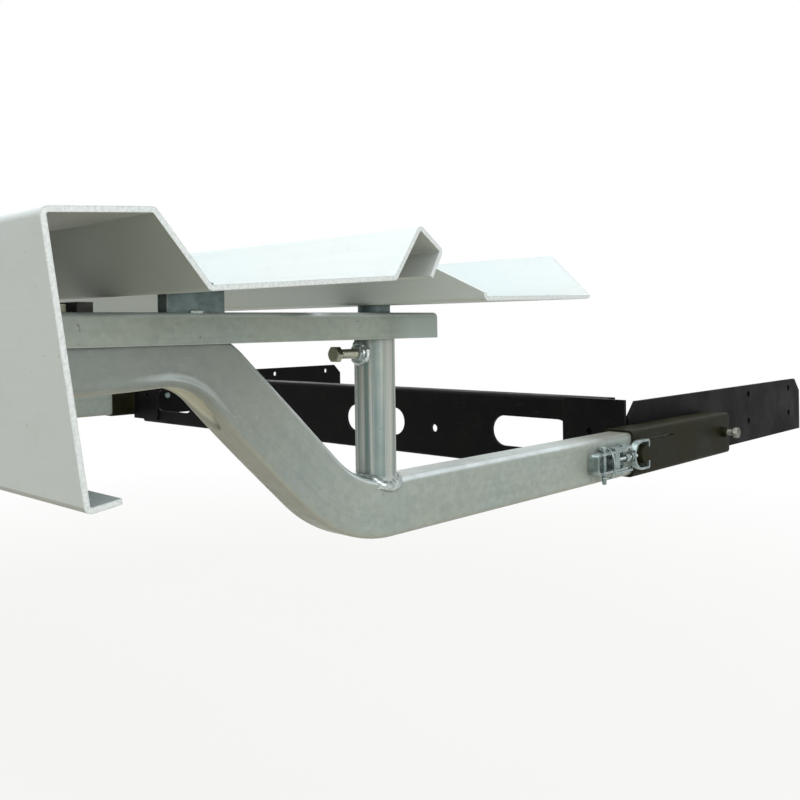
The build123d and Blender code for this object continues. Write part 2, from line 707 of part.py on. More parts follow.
def make_claw():
    """The draw claw: a strip bent round into a C, its two lips behind the catch."""
    outer_r = CLAW_INNER_R + CLAW_T
    lip_y = CLAW_REACH + math.sqrt(CATCH_R**2 - CLAW_LIP_Z**2) + PLAY
    front = lip_y + CLAW_T

    def shell(radius, reach):
        arms = Pos(reach / 2, 0) * Rectangle(reach, 2 * radius)
        return Circle(radius) + arms

    outside = shell(outer_r, front)
    outside = fillet(outside.vertices().group_by(Axis.X)[-1], 4.0)
    inside = shell(CLAW_INNER_R, lip_y)
    inside = fillet(inside.vertices().group_by(Axis.X)[-1], 1.5)
    mouth = Pos(front, 0) * Rectangle(3 * CLAW_T, 2 * CLAW_LIP_Z)
    centre = (latch_x - CLAW_W / 2, CATCH_Y - CLAW_REACH, LATCH_Z)
    place = Plane(origin=centre, x_dir=(0, 1, 0), z_dir=(1, 0, 0))
    claw = extrude(place * (outside - inside - mouth), amount=CLAW_W)
    start = (latch_x, CATCH_Y - CLAW_REACH - outer_r - 1, LATCH_Z)
    return claw - rod(start, (0, 1, 0), ROD_R + 0.1, CLAW_T + 2)


def make_linch_pin():
    """The safety pin through the lever's cheeks, with a cross hole in its head."""
    seat_z = LATCH_Z + LEVER_HALF_H + PLAY
    shank = rod((latch_x, PIN_Y, PIN_TIP_Z), (0, 0, 1), PIN_R, seat_z - PIN_TIP_Z)
    shank = chamfer(shank.edges().group_by(Axis.Z)[0], 1.2)
    head = rod((latch_x, PIN_Y, seat_z), (0, 0, 1), PIN_HEAD_R, PIN_HEAD_H)
    head = fillet(head.edges().group_by(Axis.Z)[-1], 1.5)
    across = bail_across()
    start = (latch_x - 10 * across[0], PIN_Y - 10 * across[1], bail_hinge_z)
    return shank + head - rod(start, (across[0], across[1], 0), BAIL_WIRE_R + 0.08, 20)


def bail_out():
    """The level direction in which the bail bulges."""
    turn = math.radians(BAIL_TURN)
    return (math.cos(turn), math.sin(turn))


def bail_across():
    """The level direction of the bail's hinge line."""
    out = bail_out()
    return (-out[1], out[0])


def make_bail():
    """The spring wire that turns in the pin's head and snaps against its shank."""
    out, across = bail_out(), bail_across()
    offset_across = PIN_HEAD_R + BAIL_WIRE_R + PLAY

    def place(u, v, z):
        return (latch_x + u * out[0] + v * across[0], PIN_Y + u * out[1] + v * across[1], z)

    centre_z = bail_hinge_z - BAIL_R
    rest_u = PIN_R + BAIL_WIRE_R + PLAY
    lean = math.degrees(math.asin(rest_u / BAIL_R))
    arc_plane = Plane(
        origin=place(0, offset_across, centre_z),
        x_dir=(out[0], out[1], 0),
        z_dir=(-across[0], -across[1], 0),
    )
    sweep_start = 90 - lean
    arc = arc_plane * CenterArc((0, 0), BAIL_R, 90, -(90 + sweep_start))
    wire_face = Plane(origin=arc @ 0, z_dir=arc % 0) * Circle(BAIL_WIRE_R)
    leg = sweep(wire_face, path=arc)
    bottom_z = centre_z - BAIL_R * math.cos(math.radians(lean))
    hinge_end = place(0, -offset_across, bail_hinge_z)
    along = (across[0], across[1], 0)
    hinge = rod(hinge_end, along, BAIL_WIRE_R, 2 * offset_across)
    foot = rod(place(rest_u, -PIN_R - 1, bottom_z), along, BAIL_WIRE_R, offset_across + PIN_R + 1)
    knees = [
        Pos(*place(0, offset_across, bail_hinge_z)) * Sphere(BAIL_WIRE_R),
        Pos(*place(rest_u, offset_across, bottom_z)) * Sphere(BAIL_WIRE_R),
    ]
    return leg + hinge + foot + knees[0] + knees[1]


def save(name, shape):
    """Writes one piece, measured from the middle of the cross member's holes."""
    export_step(Pos(0, -CROSS_REAR_Y, -CROSS_HOLE_Z) * shape, f"parts/{name}.step")


def save_pair(name, shape):
    """Writes a piece and its mirror image on the other side."""
    save(f"{name}_right", shape)
    save(f"{name}_left", mirrored(shape))


os.makedirs("parts", exist_ok=True)
arm_bar, arm_hollow = arm_core()
clear_of_tube = (POST_Y - 2 * POST_R, POST_Y + 2 * POST_R)
above_floor = wall(
    [(y, front_floor_z(y)) for y in clear_of_tube]
    + [(y, 2 * saddle_top_z) for y in reversed(clear_of_tube)],
    ARM_X + 2 * POST_R,
)

save("cross_member", make_cross_member())
save("wheel_rail", make_wheel_rail())
save("front_rail", make_front_rail())
save("rail_screws", make_rail_screws())
save("front_rail_screws", make_front_screws())
save("saddle_pads", make_pads())
save("saddle_bolts", make_saddle_bolts())
save_pair("socket", make_socket())
save_pair("end_bracket", make_end_bracket())
save_pair("chassis_plate", make_chassis_plate())
save_pair("plate_bolts", make_plate_bolts())
save_pair("clamp_nut", make_clamp_nut())
save_pair("clamp_bolt", make_clamp_bolt())
save_pair("catch", make_catch())
save_pair("arm", make_arm(arm_bar, arm_hollow))
save_pair("saddle", make_saddle())
save_pair("post", make_post(arm_bar))
save_pair("set_nut", make_set_nut())
save_pair("set_bolt", make_set_bolt())
save_pair("levelling_tube", make_levelling_tube(above_floor))
save_pair("tube_plug", make_tube_plug(above_floor))
save_pair("support_block", make_support_block())
save_pair("latch_base", make_latch_base())
save_pair("latch_screws", make_latch_screws())
save_pair("pivot_rivets", make_pivot_rivets())
save_pair("lever", make_lever())
save_pair("trunnion", make_trunnion())
save_pair("draw_rod", make_draw_rod())
save_pair("rod_nuts", make_rod_nuts())
save_pair("claw", make_claw())
save_pair("linch_pin", make_linch_pin())
save_pair("bail", make_bail())
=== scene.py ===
# %% [markdown]
# # A scooter carrier, dressed around its CAD solids
#
# Two cranked steel arms plug into black sleeves, and two folded aluminium channels lie across them to
# carry a scooter sideways on. The CAD model already holds every solid, so this script gives each one a
# finish, and makes again only the pieces whose real surface says more than a solid does: the bent arms,
# the weld beads and the threads.
# Everything is in metres, in the CAD model's own frame.

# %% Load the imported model
import math

import bpy
import numpy as np
from mathutils import Matrix, Vector


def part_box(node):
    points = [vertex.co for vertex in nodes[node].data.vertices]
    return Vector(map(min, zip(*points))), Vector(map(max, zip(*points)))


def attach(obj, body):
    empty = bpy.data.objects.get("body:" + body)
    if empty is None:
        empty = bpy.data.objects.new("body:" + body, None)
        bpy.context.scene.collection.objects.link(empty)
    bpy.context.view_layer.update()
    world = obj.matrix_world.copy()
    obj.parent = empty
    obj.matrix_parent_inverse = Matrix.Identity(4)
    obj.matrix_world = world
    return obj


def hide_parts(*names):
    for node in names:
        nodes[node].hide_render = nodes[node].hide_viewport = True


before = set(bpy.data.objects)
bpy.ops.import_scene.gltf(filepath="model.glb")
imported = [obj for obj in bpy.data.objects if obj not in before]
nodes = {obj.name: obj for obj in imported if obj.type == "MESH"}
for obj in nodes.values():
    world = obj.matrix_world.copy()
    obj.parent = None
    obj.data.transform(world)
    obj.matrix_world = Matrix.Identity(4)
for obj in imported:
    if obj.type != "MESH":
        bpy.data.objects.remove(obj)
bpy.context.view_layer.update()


def solid_box(node):
    """The lowest and highest corners of a CAD solid, as arrays rounded to a thousandth of a millimetre."""
    return [np.round(np.array(corner, float), 6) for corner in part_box(node)]


def placed(name, data):
    """A new object for a mesh, a lamp or a camera, linked into the scene."""
    made = bpy.data.objects.new(name, data)
    bpy.context.scene.collection.objects.link(made)
    return made

# %% [markdown]
# ## Camera
# The photograph was taken close to the right arm, from behind, at the height of the upper tubes. A level
# camera with a small lens shift keeps the upright tube from leaning, as the photograph shows it, so the
# camera's matrix is written from three directions: right, up and back. A small roll leans the horizon.

# %% Camera at the photograph's place
FOCAL_PX, FRAME_PX, HORIZON_PX, SENSOR_MM = 900.0, 800.0, 325.0, 36.0
ROLL = 0.0136
eye = Vector((1.394, -1.222, 0.187))
ahead = Vector((-0.687, 0.7266, 0.0)).normalized()
level_right = ahead.cross(Vector((0, 0, 1))).normalized()
cam_right = (level_right - ROLL * Vector((0, 0, 1))).normalized()
cam_up = cam_right.cross(ahead)

camera_data = bpy.data.cameras.new("photo_camera")
camera_data.sensor_width = SENSOR_MM
camera_data.lens = SENSOR_MM * FOCAL_PX / FRAME_PX
camera_data.shift_y = (HORIZON_PX - FRAME_PX / 2) / FRAME_PX
camera = placed("photo_camera", camera_data)
turn = Matrix((cam_right, cam_up, -ahead)).transposed()
camera.matrix_world = Matrix.Translation(eye) @ turn.to_4x4()
bpy.context.scene.camera = camera
bpy.context.scene.view_settings.view_transform = "Standard"
print("lens", round(camera_data.lens, 2), "shift", round(camera_data.shift_y, 4))

# %% [markdown]
# ## Node helpers
# A few helpers keep the materials' graphs readable. One adds a node and fills its sockets with numbers or
# with other nodes' outputs, and short ones built on it do sums, ranges and mixes. Another makes a group
# with named sockets, so that an effect is built once and used by many finishes.


# %% Adding nodes and groups
def add(tree, kind, inputs=None, **settings):
    """A new shader node. inputs maps a socket's name or number to a value or to an output to link."""
    made = tree.nodes.new("ShaderNode" + kind)
    for key, value in settings.items():
        setattr(made, key, value)
    for socket, value in (inputs or {}).items():
        if isinstance(value, bpy.types.NodeSocket):
            tree.links.new(value, made.inputs[socket])
        else:
            made.inputs[socket].default_value = value
    return made


def calc(tree, operation, *values):
    """The output of a Math node over one to three numbers or outputs."""
    made = add(tree, "Math", dict(enumerate(values)), operation=operation)
    return made.outputs[0]


def times(tree, first, second):
    """The product of two numbers or outputs."""
    return calc(tree, "MULTIPLY", first, second)


def between(tree, value, low, high, to_low=0.0, to_high=1.0):
    """value carried from the range low to high onto to_low to to_high, and held at the ends."""
    made = add(tree, "MapRange", {0: value, 1: low, 2: high, 3: to_low, 4: to_high})
    return made.outputs[0]


def mixed(tree, factor, first, second):
    """A colour between two colours."""
    made = add(tree, "Mix", {0: factor, 6: first, 7: second}, data_type="RGBA")
    return made.outputs[2]


def layered(tree, colour, over, mask, share):
    """A colour with another one over it where the mask is, up to a share."""
    return mixed(tree, times(tree, mask, share), colour, over)


def axes(tree, vector):
    """The three coordinates of a vector."""
    return list(add(tree, "SeparateXYZ", {0: vector}).outputs)


def vector_calc(tree, operation, *values):
    """The outputs of a Vector Math node over two or three vectors."""
    return add(tree, "VectorMath", dict(enumerate(values)), operation=operation).outputs


def upward(tree):
    """How far the surface faces up: 1 is up, 0 upright and -1 down."""
    return axes(tree, add(tree, "NewGeometry").outputs["Normal"])[2]


def noise(tree, vector, scale, detail=3.0, roughness=0.55):
    """The value of a noise pattern, about 0.2 to 0.8."""
    inputs = {"Vector": vector, "Scale": scale, "Detail": detail, "Roughness": roughness}
    return add(tree, "TexNoise", inputs).outputs[0]


def group(name, inputs, outputs):
    """An empty node group. inputs maps names to a starting value, and outputs lists names."""
    tree = bpy.data.node_groups.new(name, "ShaderNodeTree")
    for label, value in inputs.items():
        kind = "NodeSocketFloat" if isinstance(value, float) else "NodeSocketVector"
        socket = tree.interface.new_socket(name=label, in_out="INPUT", socket_type=kind)
        socket.default_value = value
    for label in outputs:
        tree.interface.new_socket(name=label, in_out="OUTPUT", socket_type="NodeSocketFloat")
    source = tree.nodes.new("NodeGroupInput").outputs
    sink = tree.nodes.new("NodeGroupOutput").inputs
    return tree, source, sink


def use(tree, shared, **values):
    """Places a shared group; a name's underscores stand for spaces."""
    inputs = {key.replace("_", " "): value for key, value in values.items()}
    return add(tree, "Group", inputs, node_tree=shared).outputs


# %% [markdown]
# ## Shared effects
# Hot-dip zinc freezes in crystals, so it looks mottled. Rolled sheet and drawn tube carry long fine
# streaks. Handling leaves short scratches, and corners are rubbed bright, with a painted highlight
# added. Dirt stays in narrow places, together with their painted shade, and corners that lean to the
# sky get a painted reflection. Each of these is a mask between 0 and 1, and each material decides
# what the mask brings.

# %% Zinc bloom: frozen crystals and fine grain
NOWHERE = (0.0, 0.0, 0.0)
WOBBLE = (0.004, 0.004, 0.004)

zinc_bloom, source, sink = group("zinc_bloom", {"Vector": NOWHERE, "Cell": 0.01}, ["Tone", "Grain"])
wobble = noise(zinc_bloom, source["Vector"], 60.0, 2.0)
wobbled = vector_calc(zinc_bloom, "MULTIPLY_ADD", wobble, WOBBLE, source["Vector"])[0]
density = calc(zinc_bloom, "DIVIDE", 1.0, source["Cell"])
crystal_inputs = {"Vector": wobbled, "Scale": density, "Smoothness": 0.6}
crystals = add(zinc_bloom, "TexVoronoi", crystal_inputs, feature="SMOOTH_F1")
crystal_tone = add(zinc_bloom, "SeparateColor", {0: crystals.outputs["Color"]}).outputs[0]
grain = noise(zinc_bloom, source["Vector"], 700.0, 3.0, 0.7)
zinc_tone = calc(zinc_bloom, "MULTIPLY_ADD", grain, 0.6, times(zinc_bloom, crystal_tone, 0.4))
zinc_bloom.links.new(zinc_tone, sink["Tone"])
zinc_bloom.links.new(between(zinc_bloom, grain, 0.3, 0.7), sink["Grain"])

# %% Streaks: fine lines along the first axis of the vector
streaks, source, sink = group("streaks", {"Vector": NOWHERE, "Length": 0.3, "Width": 0.001}, ["Value"])
along = calc(streaks, "DIVIDE", 1.0, source["Length"])
across = calc(streaks, "DIVIDE", 1.0, source["Width"])
stretch = add(streaks, "CombineXYZ", {0: along, 1: across, 2: across}).outputs[0]
drawn = vector_calc(streaks, "MULTIPLY", source["Vector"], stretch)[0]
streaks.links.new(noise(streaks, drawn, 1.0, 4.0, 0.6), sink["Value"])

# %% Scratches: thin broken lines, where a drawn-out noise passes its middle value
scratches, source, sink = group(
    "scratches", {"Vector": NOWHERE, "Length": 0.05, "Width": 0.004, "Amount": 0.5}, ["Mask"])
lines = use(scratches, streaks, Vector=source["Vector"], Length=source["Length"], Width=source["Width"])[0]
thin = calc(scratches, "ABSOLUTE", calc(scratches, "SUBTRACT", lines, 0.5))
line_mask = between(scratches, thin, 0.0, 0.006, 1.0, 0.0)
patches = noise(scratches, source["Vector"], 22.0, 2.0)
gate = calc(scratches, "SUBTRACT", 0.75, times(scratches, source["Amount"], 0.4))
kept = calc(scratches, "GREATER_THAN", patches, gate)
scratches.links.new(times(scratches, line_mask, kept), sink["Mask"])

# %% Worn and highlit edges: where a rounded normal leaves the flat one, for rubbed wear and a painted edge highlight
worn_edges, source, sink = group(
    "worn_edges", {"Vector": NOWHERE, "Radius": 0.001, "Break Up": 0.5}, ["Mask"])
rounded = add(worn_edges, "Bevel", {"Radius": source["Radius"]}, samples=8).outputs[0]
flat = add(worn_edges, "NewGeometry").outputs["Normal"]
agree = vector_calc(worn_edges, "DOT_PRODUCT", rounded, flat)["Value"]
edge = between(worn_edges, agree, 0.995, 0.88)
chips = between(worn_edges, noise(worn_edges, source["Vector"], 260.0), 0.35, 0.6)
broken = calc(worn_edges, "MULTIPLY_ADD", calc(worn_edges, "SUBTRACT", chips, 1.0), source["Break Up"], 1.0)
worn_edges.links.new(times(worn_edges, edge, broken), sink["Mask"])

# %% Painted sky reflection: rounded corners that lean towards the sky, between low and high upward tilt
FLAT_TILT, FLAT_SHARE = 0.995, 0.35

sky_band, source, sink = group("sky_band", {"Low": 0.1, "High": 0.5, "Fade": 0.9}, ["Mask"])
tilt = upward(sky_band)
rising = between(sky_band, tilt, source["Low"], source["High"])
falling = between(sky_band, tilt, source["Fade"], FLAT_TILT, 1.0, FLAT_SHARE)
sky_band.links.new(times(sky_band, rising, falling), sink["Mask"])

# %% Dirt and painted shade: narrow places keep dirt, and occlusion paints their shade
settled_dirt, source, sink = group("settled_dirt", {"Vector": NOWHERE, "Reach": 0.01}, ["Mask", "Shade"])
occlusion = add(settled_dirt, "AmbientOcclusion", {"Distance": source["Reach"]}, samples=6)
# Mask: painted corner shade from the occlusion, broken up by dirt clouds; Shade: the painted corner shade
# alone
corner_shade = between(settled_dirt, occlusion.outputs["AO"], 0.85, 0.25)
cloud = between(settled_dirt, noise(settled_dirt, source["Vector"], 45.0), 0.3, 0.65)
settled_dirt.links.new(times(settled_dirt, corner_shade, cloud), sink["Mask"])
settled_dirt.links.new(corner_shade, sink["Shade"])
print("shared effects:", sorted(g.name for g in bpy.data.node_groups))

# %% [markdown]
# ## Starting a material
# Metals need little more than a metallic shader with a good colour and a roughness that changes.
# The first helper makes the Principled shader and sets its constants on its own sockets, and the second
# gives the place that the patterns read. The arm reads a straightened place that follows its bends.


# %% Material starter
def finish(name, metallic, specular=0.5):
    """A new material: its node tree and its Principled shader, with the constants set."""
    made = bpy.data.materials.new(name)
    made.use_nodes = True
    tree = made.node_tree
    shader = tree.nodes["Principled BSDF"]
    shader.inputs["Metallic"].default_value = metallic
    shader.inputs["Specular IOR Level"].default_value = specular
    return made, tree, shader


def object_place(tree, order="XYZ"):
    """Object coordinates, with their axes reordered so that the first letter's axis comes first."""
    place = add(tree, "TexCoord").outputs["Object"]
    if order == "XYZ":
        return place
    parts = axes(tree, place)
    picked = {index: parts["XYZ".index(letter)] for index, letter in enumerate(order)}
    return add(tree, "CombineXYZ", picked).outputs[0]


def connect(tree, shader, colour, roughness, height, depth):
    """Plugs a colour, a roughness and, through a Bump node, a height of some depth into the shader."""
    tree.links.new(colour, shader.inputs["Base Color"])
    tree.links.new(roughness, shader.inputs["Roughness"])
    bump = add(tree, "Bump", {"Height": height, "Distance": depth, "Strength": 1.0})
    tree.links.new(bump.outputs[0], shader.inputs["Normal"])


# %% [markdown]
# ## Aluminium sheet
# The two channels are folded from mill-finish aluminium, 4 mm thick. It is pale and satin, with fine
# lines along the rolling direction, a few handling marks, and a bright sheared face at each end where
# the guillotine left short upright scores. Those faces are found by their distance from the middle.


# %% Rail sheet
# The corner tone and the tones for the hat's underside and the skirt's foot are painted shade; the rubbed
# edge tone is partly a painted highlight
SHEET_TONES = {
    "rolled dark": (0.645, 0.685, 0.68, 1), "rolled pale": (0.675, 0.715, 0.71, 1),
    "blue drift": (0.63, 0.70, 0.725, 1), "smear": (0.52, 0.53, 0.49, 1),
    "mark": (0.4, 0.4, 0.37, 1), "speck": (0.2, 0.19, 0.16, 1),
    "corner": (0.26, 0.265, 0.24, 1), "damp foot": (0.31, 0.36, 0.37, 1),
    "hollow": (0.27, 0.265, 0.21, 1), "shear line": (0.3, 0.32, 0.34, 1),
    "sheared pale": (0.76, 0.79, 0.79, 1), "sheared dark": (0.62, 0.65, 0.66, 1),
    "rubbed edge": (0.8, 0.83, 0.83, 1),
}
HAT_SIDE_Y, TROUGH_SIDE_Y = -0.852, -0.842  # just inside the trough, past its fold with the hat
# The painted shade on the foot's lip is full below the first height and gone above the second
FOOT_SHADE_Z, FOOT_LIT_Z = 0.10, 0.12  # the lip at the skirt's foot lies below the first
SHEARED_DEPTH = 0.0002


def rail_sheet(name, node):
    """Satin sheet for one rail, with bright sheared ends at its half length from the middle."""
    tone = SHEET_TONES
    half_length = solid_box(node)[1][0]
    made, tree, shader = finish(name, 0.15, specular=0.4)
    place = object_place(tree)
    x, y, z = axes(tree, place)
    facing = upward(tree)

    rolled = use(tree, streaks, Vector=place, Length=0.35, Width=0.0015)[0]
    broad = noise(tree, place, 4.0)
    smear = noise(tree, place, 26.0, 4.0, 0.6)
    colour = mixed(tree, between(tree, rolled, 0.35, 0.65), tone["rolled dark"], tone["rolled pale"])
    colour = mixed(tree, between(tree, broad, 0.4, 0.62, 0.0, 0.5), colour, tone["blue drift"])
    colour = mixed(tree, between(tree, smear, 0.55, 0.75, 0.0, 0.2), colour, tone["smear"])
    marks = use(tree, scratches, Vector=place, Length=0.03, Width=0.004, Amount=0.3)[0]
    colour = layered(tree, colour, tone["mark"], marks, 0.25)
    specks = between(tree, noise(tree, place, 190.0, 1.0), 0.78, 0.8)
    colour = layered(tree, colour, tone["speck"], specks, 0.5)

    # Painted shade: the occlusion darkens the sheet's corners and creases, less under the trough's floor
    trough_side = between(tree, y, HAT_SIDE_Y, TROUGH_SIDE_Y)
    under_floor = times(tree, between(tree, facing, -0.9, -0.97), trough_side)
    corners = use(tree, settled_dirt, Vector=place, Reach=0.05)["Shade"]
    corners = times(tree, corners, calc(tree, "MULTIPLY_ADD", under_floor, -0.6, 0.65))
    colour = mixed(tree, corners, colour, tone["corner"])
    # Painted shade on the upward lip at the skirt's foot, under the hat
    low_down = between(tree, z, FOOT_SHADE_Z, FOOT_LIT_Z, 0.85, 0.0)
    foot_shade = times(tree, between(tree, facing, 0.5, 0.9), low_down)
    colour = mixed(tree, foot_shade, colour, tone["damp foot"])
    # Painted shade on the downward faces on the hat's side of the sheet
    hat_side = between(tree, y, TROUGH_SIDE_Y, HAT_SIDE_Y, 0.0, 0.5)
    hollow = times(tree, between(tree, facing, -0.1, -0.3), hat_side)
    colour = mixed(tree, hollow, colour, tone["hollow"])

    end_face = calc(tree, "GREATER_THAN", calc(tree, "ABSOLUTE", x), half_length - SHEARED_DEPTH)
    wide = use(tree, worn_edges, Vector=place, Radius=0.0016, Break_Up=0.1)[0]
    narrow = use(tree, worn_edges, Vector=place, Radius=0.0007, Break_Up=0.25)[0]
    shear_line = calc(tree, "SUBTRACT", wide, narrow)
    scores = use(tree, streaks, Vector=place, Length=0.02, Width=0.0025)[0]
    sheared = mixed(tree, between(tree, scores, 0.4, 0.62), tone["sheared pale"], tone["sheared dark"])
    sheared = layered(tree, sheared, tone["shear line"], shear_line, 0.45)
    # Rubbed edges, brightened further with a painted highlight along the rounded edges
    colour = layered(tree, colour, tone["rubbed edge"], narrow, 0.75)
    colour = mixed(tree, end_face, colour, sheared)
    rough = between(tree, rolled, 0.3, 0.7, 0.42, 0.56)
    height = calc(tree, "MULTIPLY_ADD", end_face, scores, rolled)
    connect(tree, shader, colour, rough, height, 0.00004)
    return made


main_sheet = rail_sheet("main_rail_sheet", "wheel_rail")
front_sheet = rail_sheet("front_rail_sheet", "front_rail")
print("rail sheets:", main_sheet.name, front_sheet.name)

# %% [markdown]
# ## Galvanised steel
# Arms, saddles and posts were dipped in zinc. The tone drifts between blue grey and a greenish
# passivated grey over a few centimetres, crystals show at a few millimetres, and tube streaks run
# lengthwise.


# %% Galvanised tubes
# Among these tones, those for the rear, the lower corners, the dish, the top near the sleeve, inside the
# sleeve and the saddle's end are painted light and shade; the sky tone is a painted reflection, the dirt
# tone partly painted shade, and the rubbed edge tone partly a painted highlight
ZINC_TONES = {
    "warm drift": (0.40, 0.415, 0.345, 1), "cool drift": (0.33, 0.40, 0.395, 1),
    "stain": (0.25, 0.28, 0.265, 1), "mark": (0.55, 0.59, 0.57, 1),
    "nick": (0.12, 0.125, 0.11, 1), "rubbed edge": (0.68, 0.73, 0.73, 1),
    "sky": (0.72, 0.79, 0.80, 1), "dirt": (0.07, 0.065, 0.05, 1),
    "rear film": (0.185, 0.2, 0.19, 1), "corner film": (0.42, 0.405, 0.335, 1),
    "dish film": (0.72, 0.70, 0.58, 1), "grease": (0.13, 0.12, 0.095, 1),
    "sleeve grease": (0.008, 0.008, 0.006, 1), "end bloom": (0.47, 0.56, 0.56, 1),
}
# Lengths along the arm, heights above its line, a half width across it, and places along the saddle.
REAR_DARK, REAR_UNSHADED, SLEEVE_MOUTH = 0.2, 0.42, 0.952
BUMPER_SHADOW_FROM, SKY_REFLECTION_FADES_FROM, BUMPER_SHADOW_FULL = 0.78, 0.76, 0.88
UNDER_CORNER, LOW_CORNER, DISH_RIM, DISH_HALF_W = -0.0245, -0.028, -0.0268, 0.0165
UNDERSIDE, TOP_FROM, TOP_FULL = -0.01, 0.024, 0.028
END_LIGHT_FROM_Y, END_LIGHT_FULL_Y = -0.56, -0.53


def straightened(tree):
    """The place along, across and above the arm's line, stored on its points."""
    return add(tree, "Attribute", attribute_name="straightened").outputs["Vector"]


def bend_tones(tree, place, colour):
    """The arm's painted light and shade, and the share of the painted sky reflection that they leave.

    Painted shade darkens the arm towards its rear end, under the rails. Its dish gets painted pale light
    and its lower corners a warm painted light, its top gets the bumper's painted shadow near the sleeve,
    and inside the sleeve painted shade makes it black.
    """
    tone = ZINC_TONES
    along, across, up = axes(tree, place)
    # Painted shade under the rails, fading out along the arm
    colour = mixed(tree, between(tree, along, REAR_DARK, REAR_UNSHADED, 0.66, 0.0), colour, tone["rear film"])
    # Painted light: the lower corners are made warm and lighter, and the dish pale beige
    corner = between(tree, up, UNDER_CORNER, LOW_CORNER, 0.0, 0.6)
    colour = mixed(tree, corner, colour, tone["corner film"])
    under = calc(tree, "LESS_THAN", calc(tree, "ABSOLUTE", across), DISH_HALF_W)
    under = times(tree, under, calc(tree, "LESS_THAN", up, UNDERSIDE))
    dish = times(tree, under, between(tree, up, DISH_RIM, UNDER_CORNER, 0.0, 0.9))
    colour = mixed(tree, dish, colour, tone["dish film"])
    # Painted shadow of the bumper on the arm's top near the sleeve
    bumper_shadow = between(tree, along, BUMPER_SHADOW_FROM, BUMPER_SHADOW_FULL, 0.0, 0.85)
    bumper_shadow = times(tree, bumper_shadow, between(tree, up, TOP_FROM, TOP_FULL))
    colour = mixed(tree, bumper_shadow, colour, tone["grease"])
    # Painted shade: the arm inside the sleeve is made black
    inside = between(tree, along, SLEEVE_MOUTH, SLEEVE_MOUTH + 0.01, 0.0, 0.95)
    colour = mixed(tree, inside, colour, tone["sleeve grease"])
    # The painted sky reflection fades out under that painted shadow
    return colour, between(tree, along, SKY_REFLECTION_FADES_FROM, BUMPER_SHADOW_FULL, 1.0, 0.1)


def end_tones(tree, place, colour):
    """Painted light on the saddle: its open front end, out of the rails' shade, is painted lighter and
    bluish. Y comes first in its place.
    """
    # bloom here is the share of the painted end light
    bloom = between(tree, axes(tree, place)[0], END_LIGHT_FROM_Y, END_LIGHT_FULL_Y, 0.0, 0.65)
    return mixed(tree, bloom, colour, ZINC_TONES["end bloom"]), 1.0


def galvanised(name, order, dark, light, tones=None, band=0.3, spread=0.2, width=0.009, metallic=0.2,
               sky_share=1.0):
    """Dipped zinc between two greys; band is the streaks' share, and spread their half range.

    order is that of the object's axes, with the streaks' own first, or None for the arm. tones adds a
    piece's own painted light and shade, and returns the share of the painted sky reflection that they leave.
    """
    tone = ZINC_TONES
    made, tree, shader = finish(name, metallic, specular=0.35)
    place = object_place(tree, order) if order else straightened(tree)
    bloom = use(tree, zinc_bloom, Vector=place, Cell=0.006)
    drift = noise(tree, place, 7.0, 4.0, 0.6)
    drawn = use(tree, streaks, Vector=place, Length=0.9, Width=width)[0]
    lines = between(tree, drawn, 0.5 - spread, 0.5 + spread)
    level = calc(tree, "MULTIPLY_ADD", lines, band, times(tree, bloom["Tone"], 1 - band))
    colour = mixed(tree, between(tree, level, 0.15, 0.85), dark, light)
    colour = mixed(tree, between(tree, drift, 0.45, 0.7, 0.0, 0.55), colour, tone["warm drift"])
    colour = mixed(tree, between(tree, drift, 0.5, 0.3, 0.0, 0.45), colour, tone["cool drift"])
    sky_reflection_left = 1.0
    if tones:
        colour, sky_reflection_left = tones(tree, place, colour)

    stains = between(tree, noise(tree, place, 15.0, 5.0, 0.65), 0.6, 0.8, 0.0, 0.4)
    colour = mixed(tree, stains, colour, tone["stain"])
    marks = use(tree, scratches, Vector=place, Length=0.04, Width=0.005, Amount=0.5)[0]
    colour = layered(tree, colour, tone["mark"], marks, 0.35)
    nicks = between(tree, noise(tree, place, 150.0, 2.0), 0.72, 0.76)
    colour = layered(tree, colour, tone["nick"], nicks, 0.6)
    # Rubbed edges, partly a painted highlight on the rounded edges
    edges = use(tree, worn_edges, Vector=place, Radius=0.0015, Break_Up=0.6)[0]
    colour = layered(tree, colour, tone["rubbed edge"], edges, 0.5)

    # Painted sky reflection: rounded corners that lean up are painted pale and made more metallic
    cloudy = between(tree, noise(tree, place, 40.0), 0.3, 0.6, 0.6 * sky_share, sky_share)
    sky_reflection = times(tree, use(tree, sky_band, Low=0.1, High=0.5, Fade=0.9)[0], cloudy)
    sky_reflection = times(tree, sky_reflection, sky_reflection_left)
    colour = mixed(tree, sky_reflection, colour, tone["sky"])
    tree.links.new(calc(tree, "MULTIPLY_ADD", sky_reflection, 0.85 - metallic, metallic), shader.inputs["Metallic"])
    # Dirt and painted shade in narrow places, from occlusion
    dirt = use(tree, settled_dirt, Vector=place, Reach=0.012)[0]
    colour = layered(tree, colour, tone["dirt"], dirt, 0.7)
    rough = between(tree, bloom["Tone"], 0.2, 0.8, 0.5, 0.36)
    rough = calc(tree, "MULTIPLY_ADD", sky_reflection, -0.12, rough)
    rough = calc(tree, "MULTIPLY_ADD", stains, 0.25, rough)
    height = calc(tree, "MULTIPLY_ADD", bloom["Grain"], 0.3, bloom["Tone"])
    connect(tree, shader, colour, rough, height, 0.00008)
    return made


arm_zinc = galvanised("arm_zinc", None, (0.29, 0.335, 0.31, 1), (0.45, 0.495, 0.465, 1), bend_tones)
saddle_zinc = galvanised("saddle_zinc", "YXZ", (0.25, 0.29, 0.265, 1), (0.38, 0.42, 0.39, 1), end_tones)
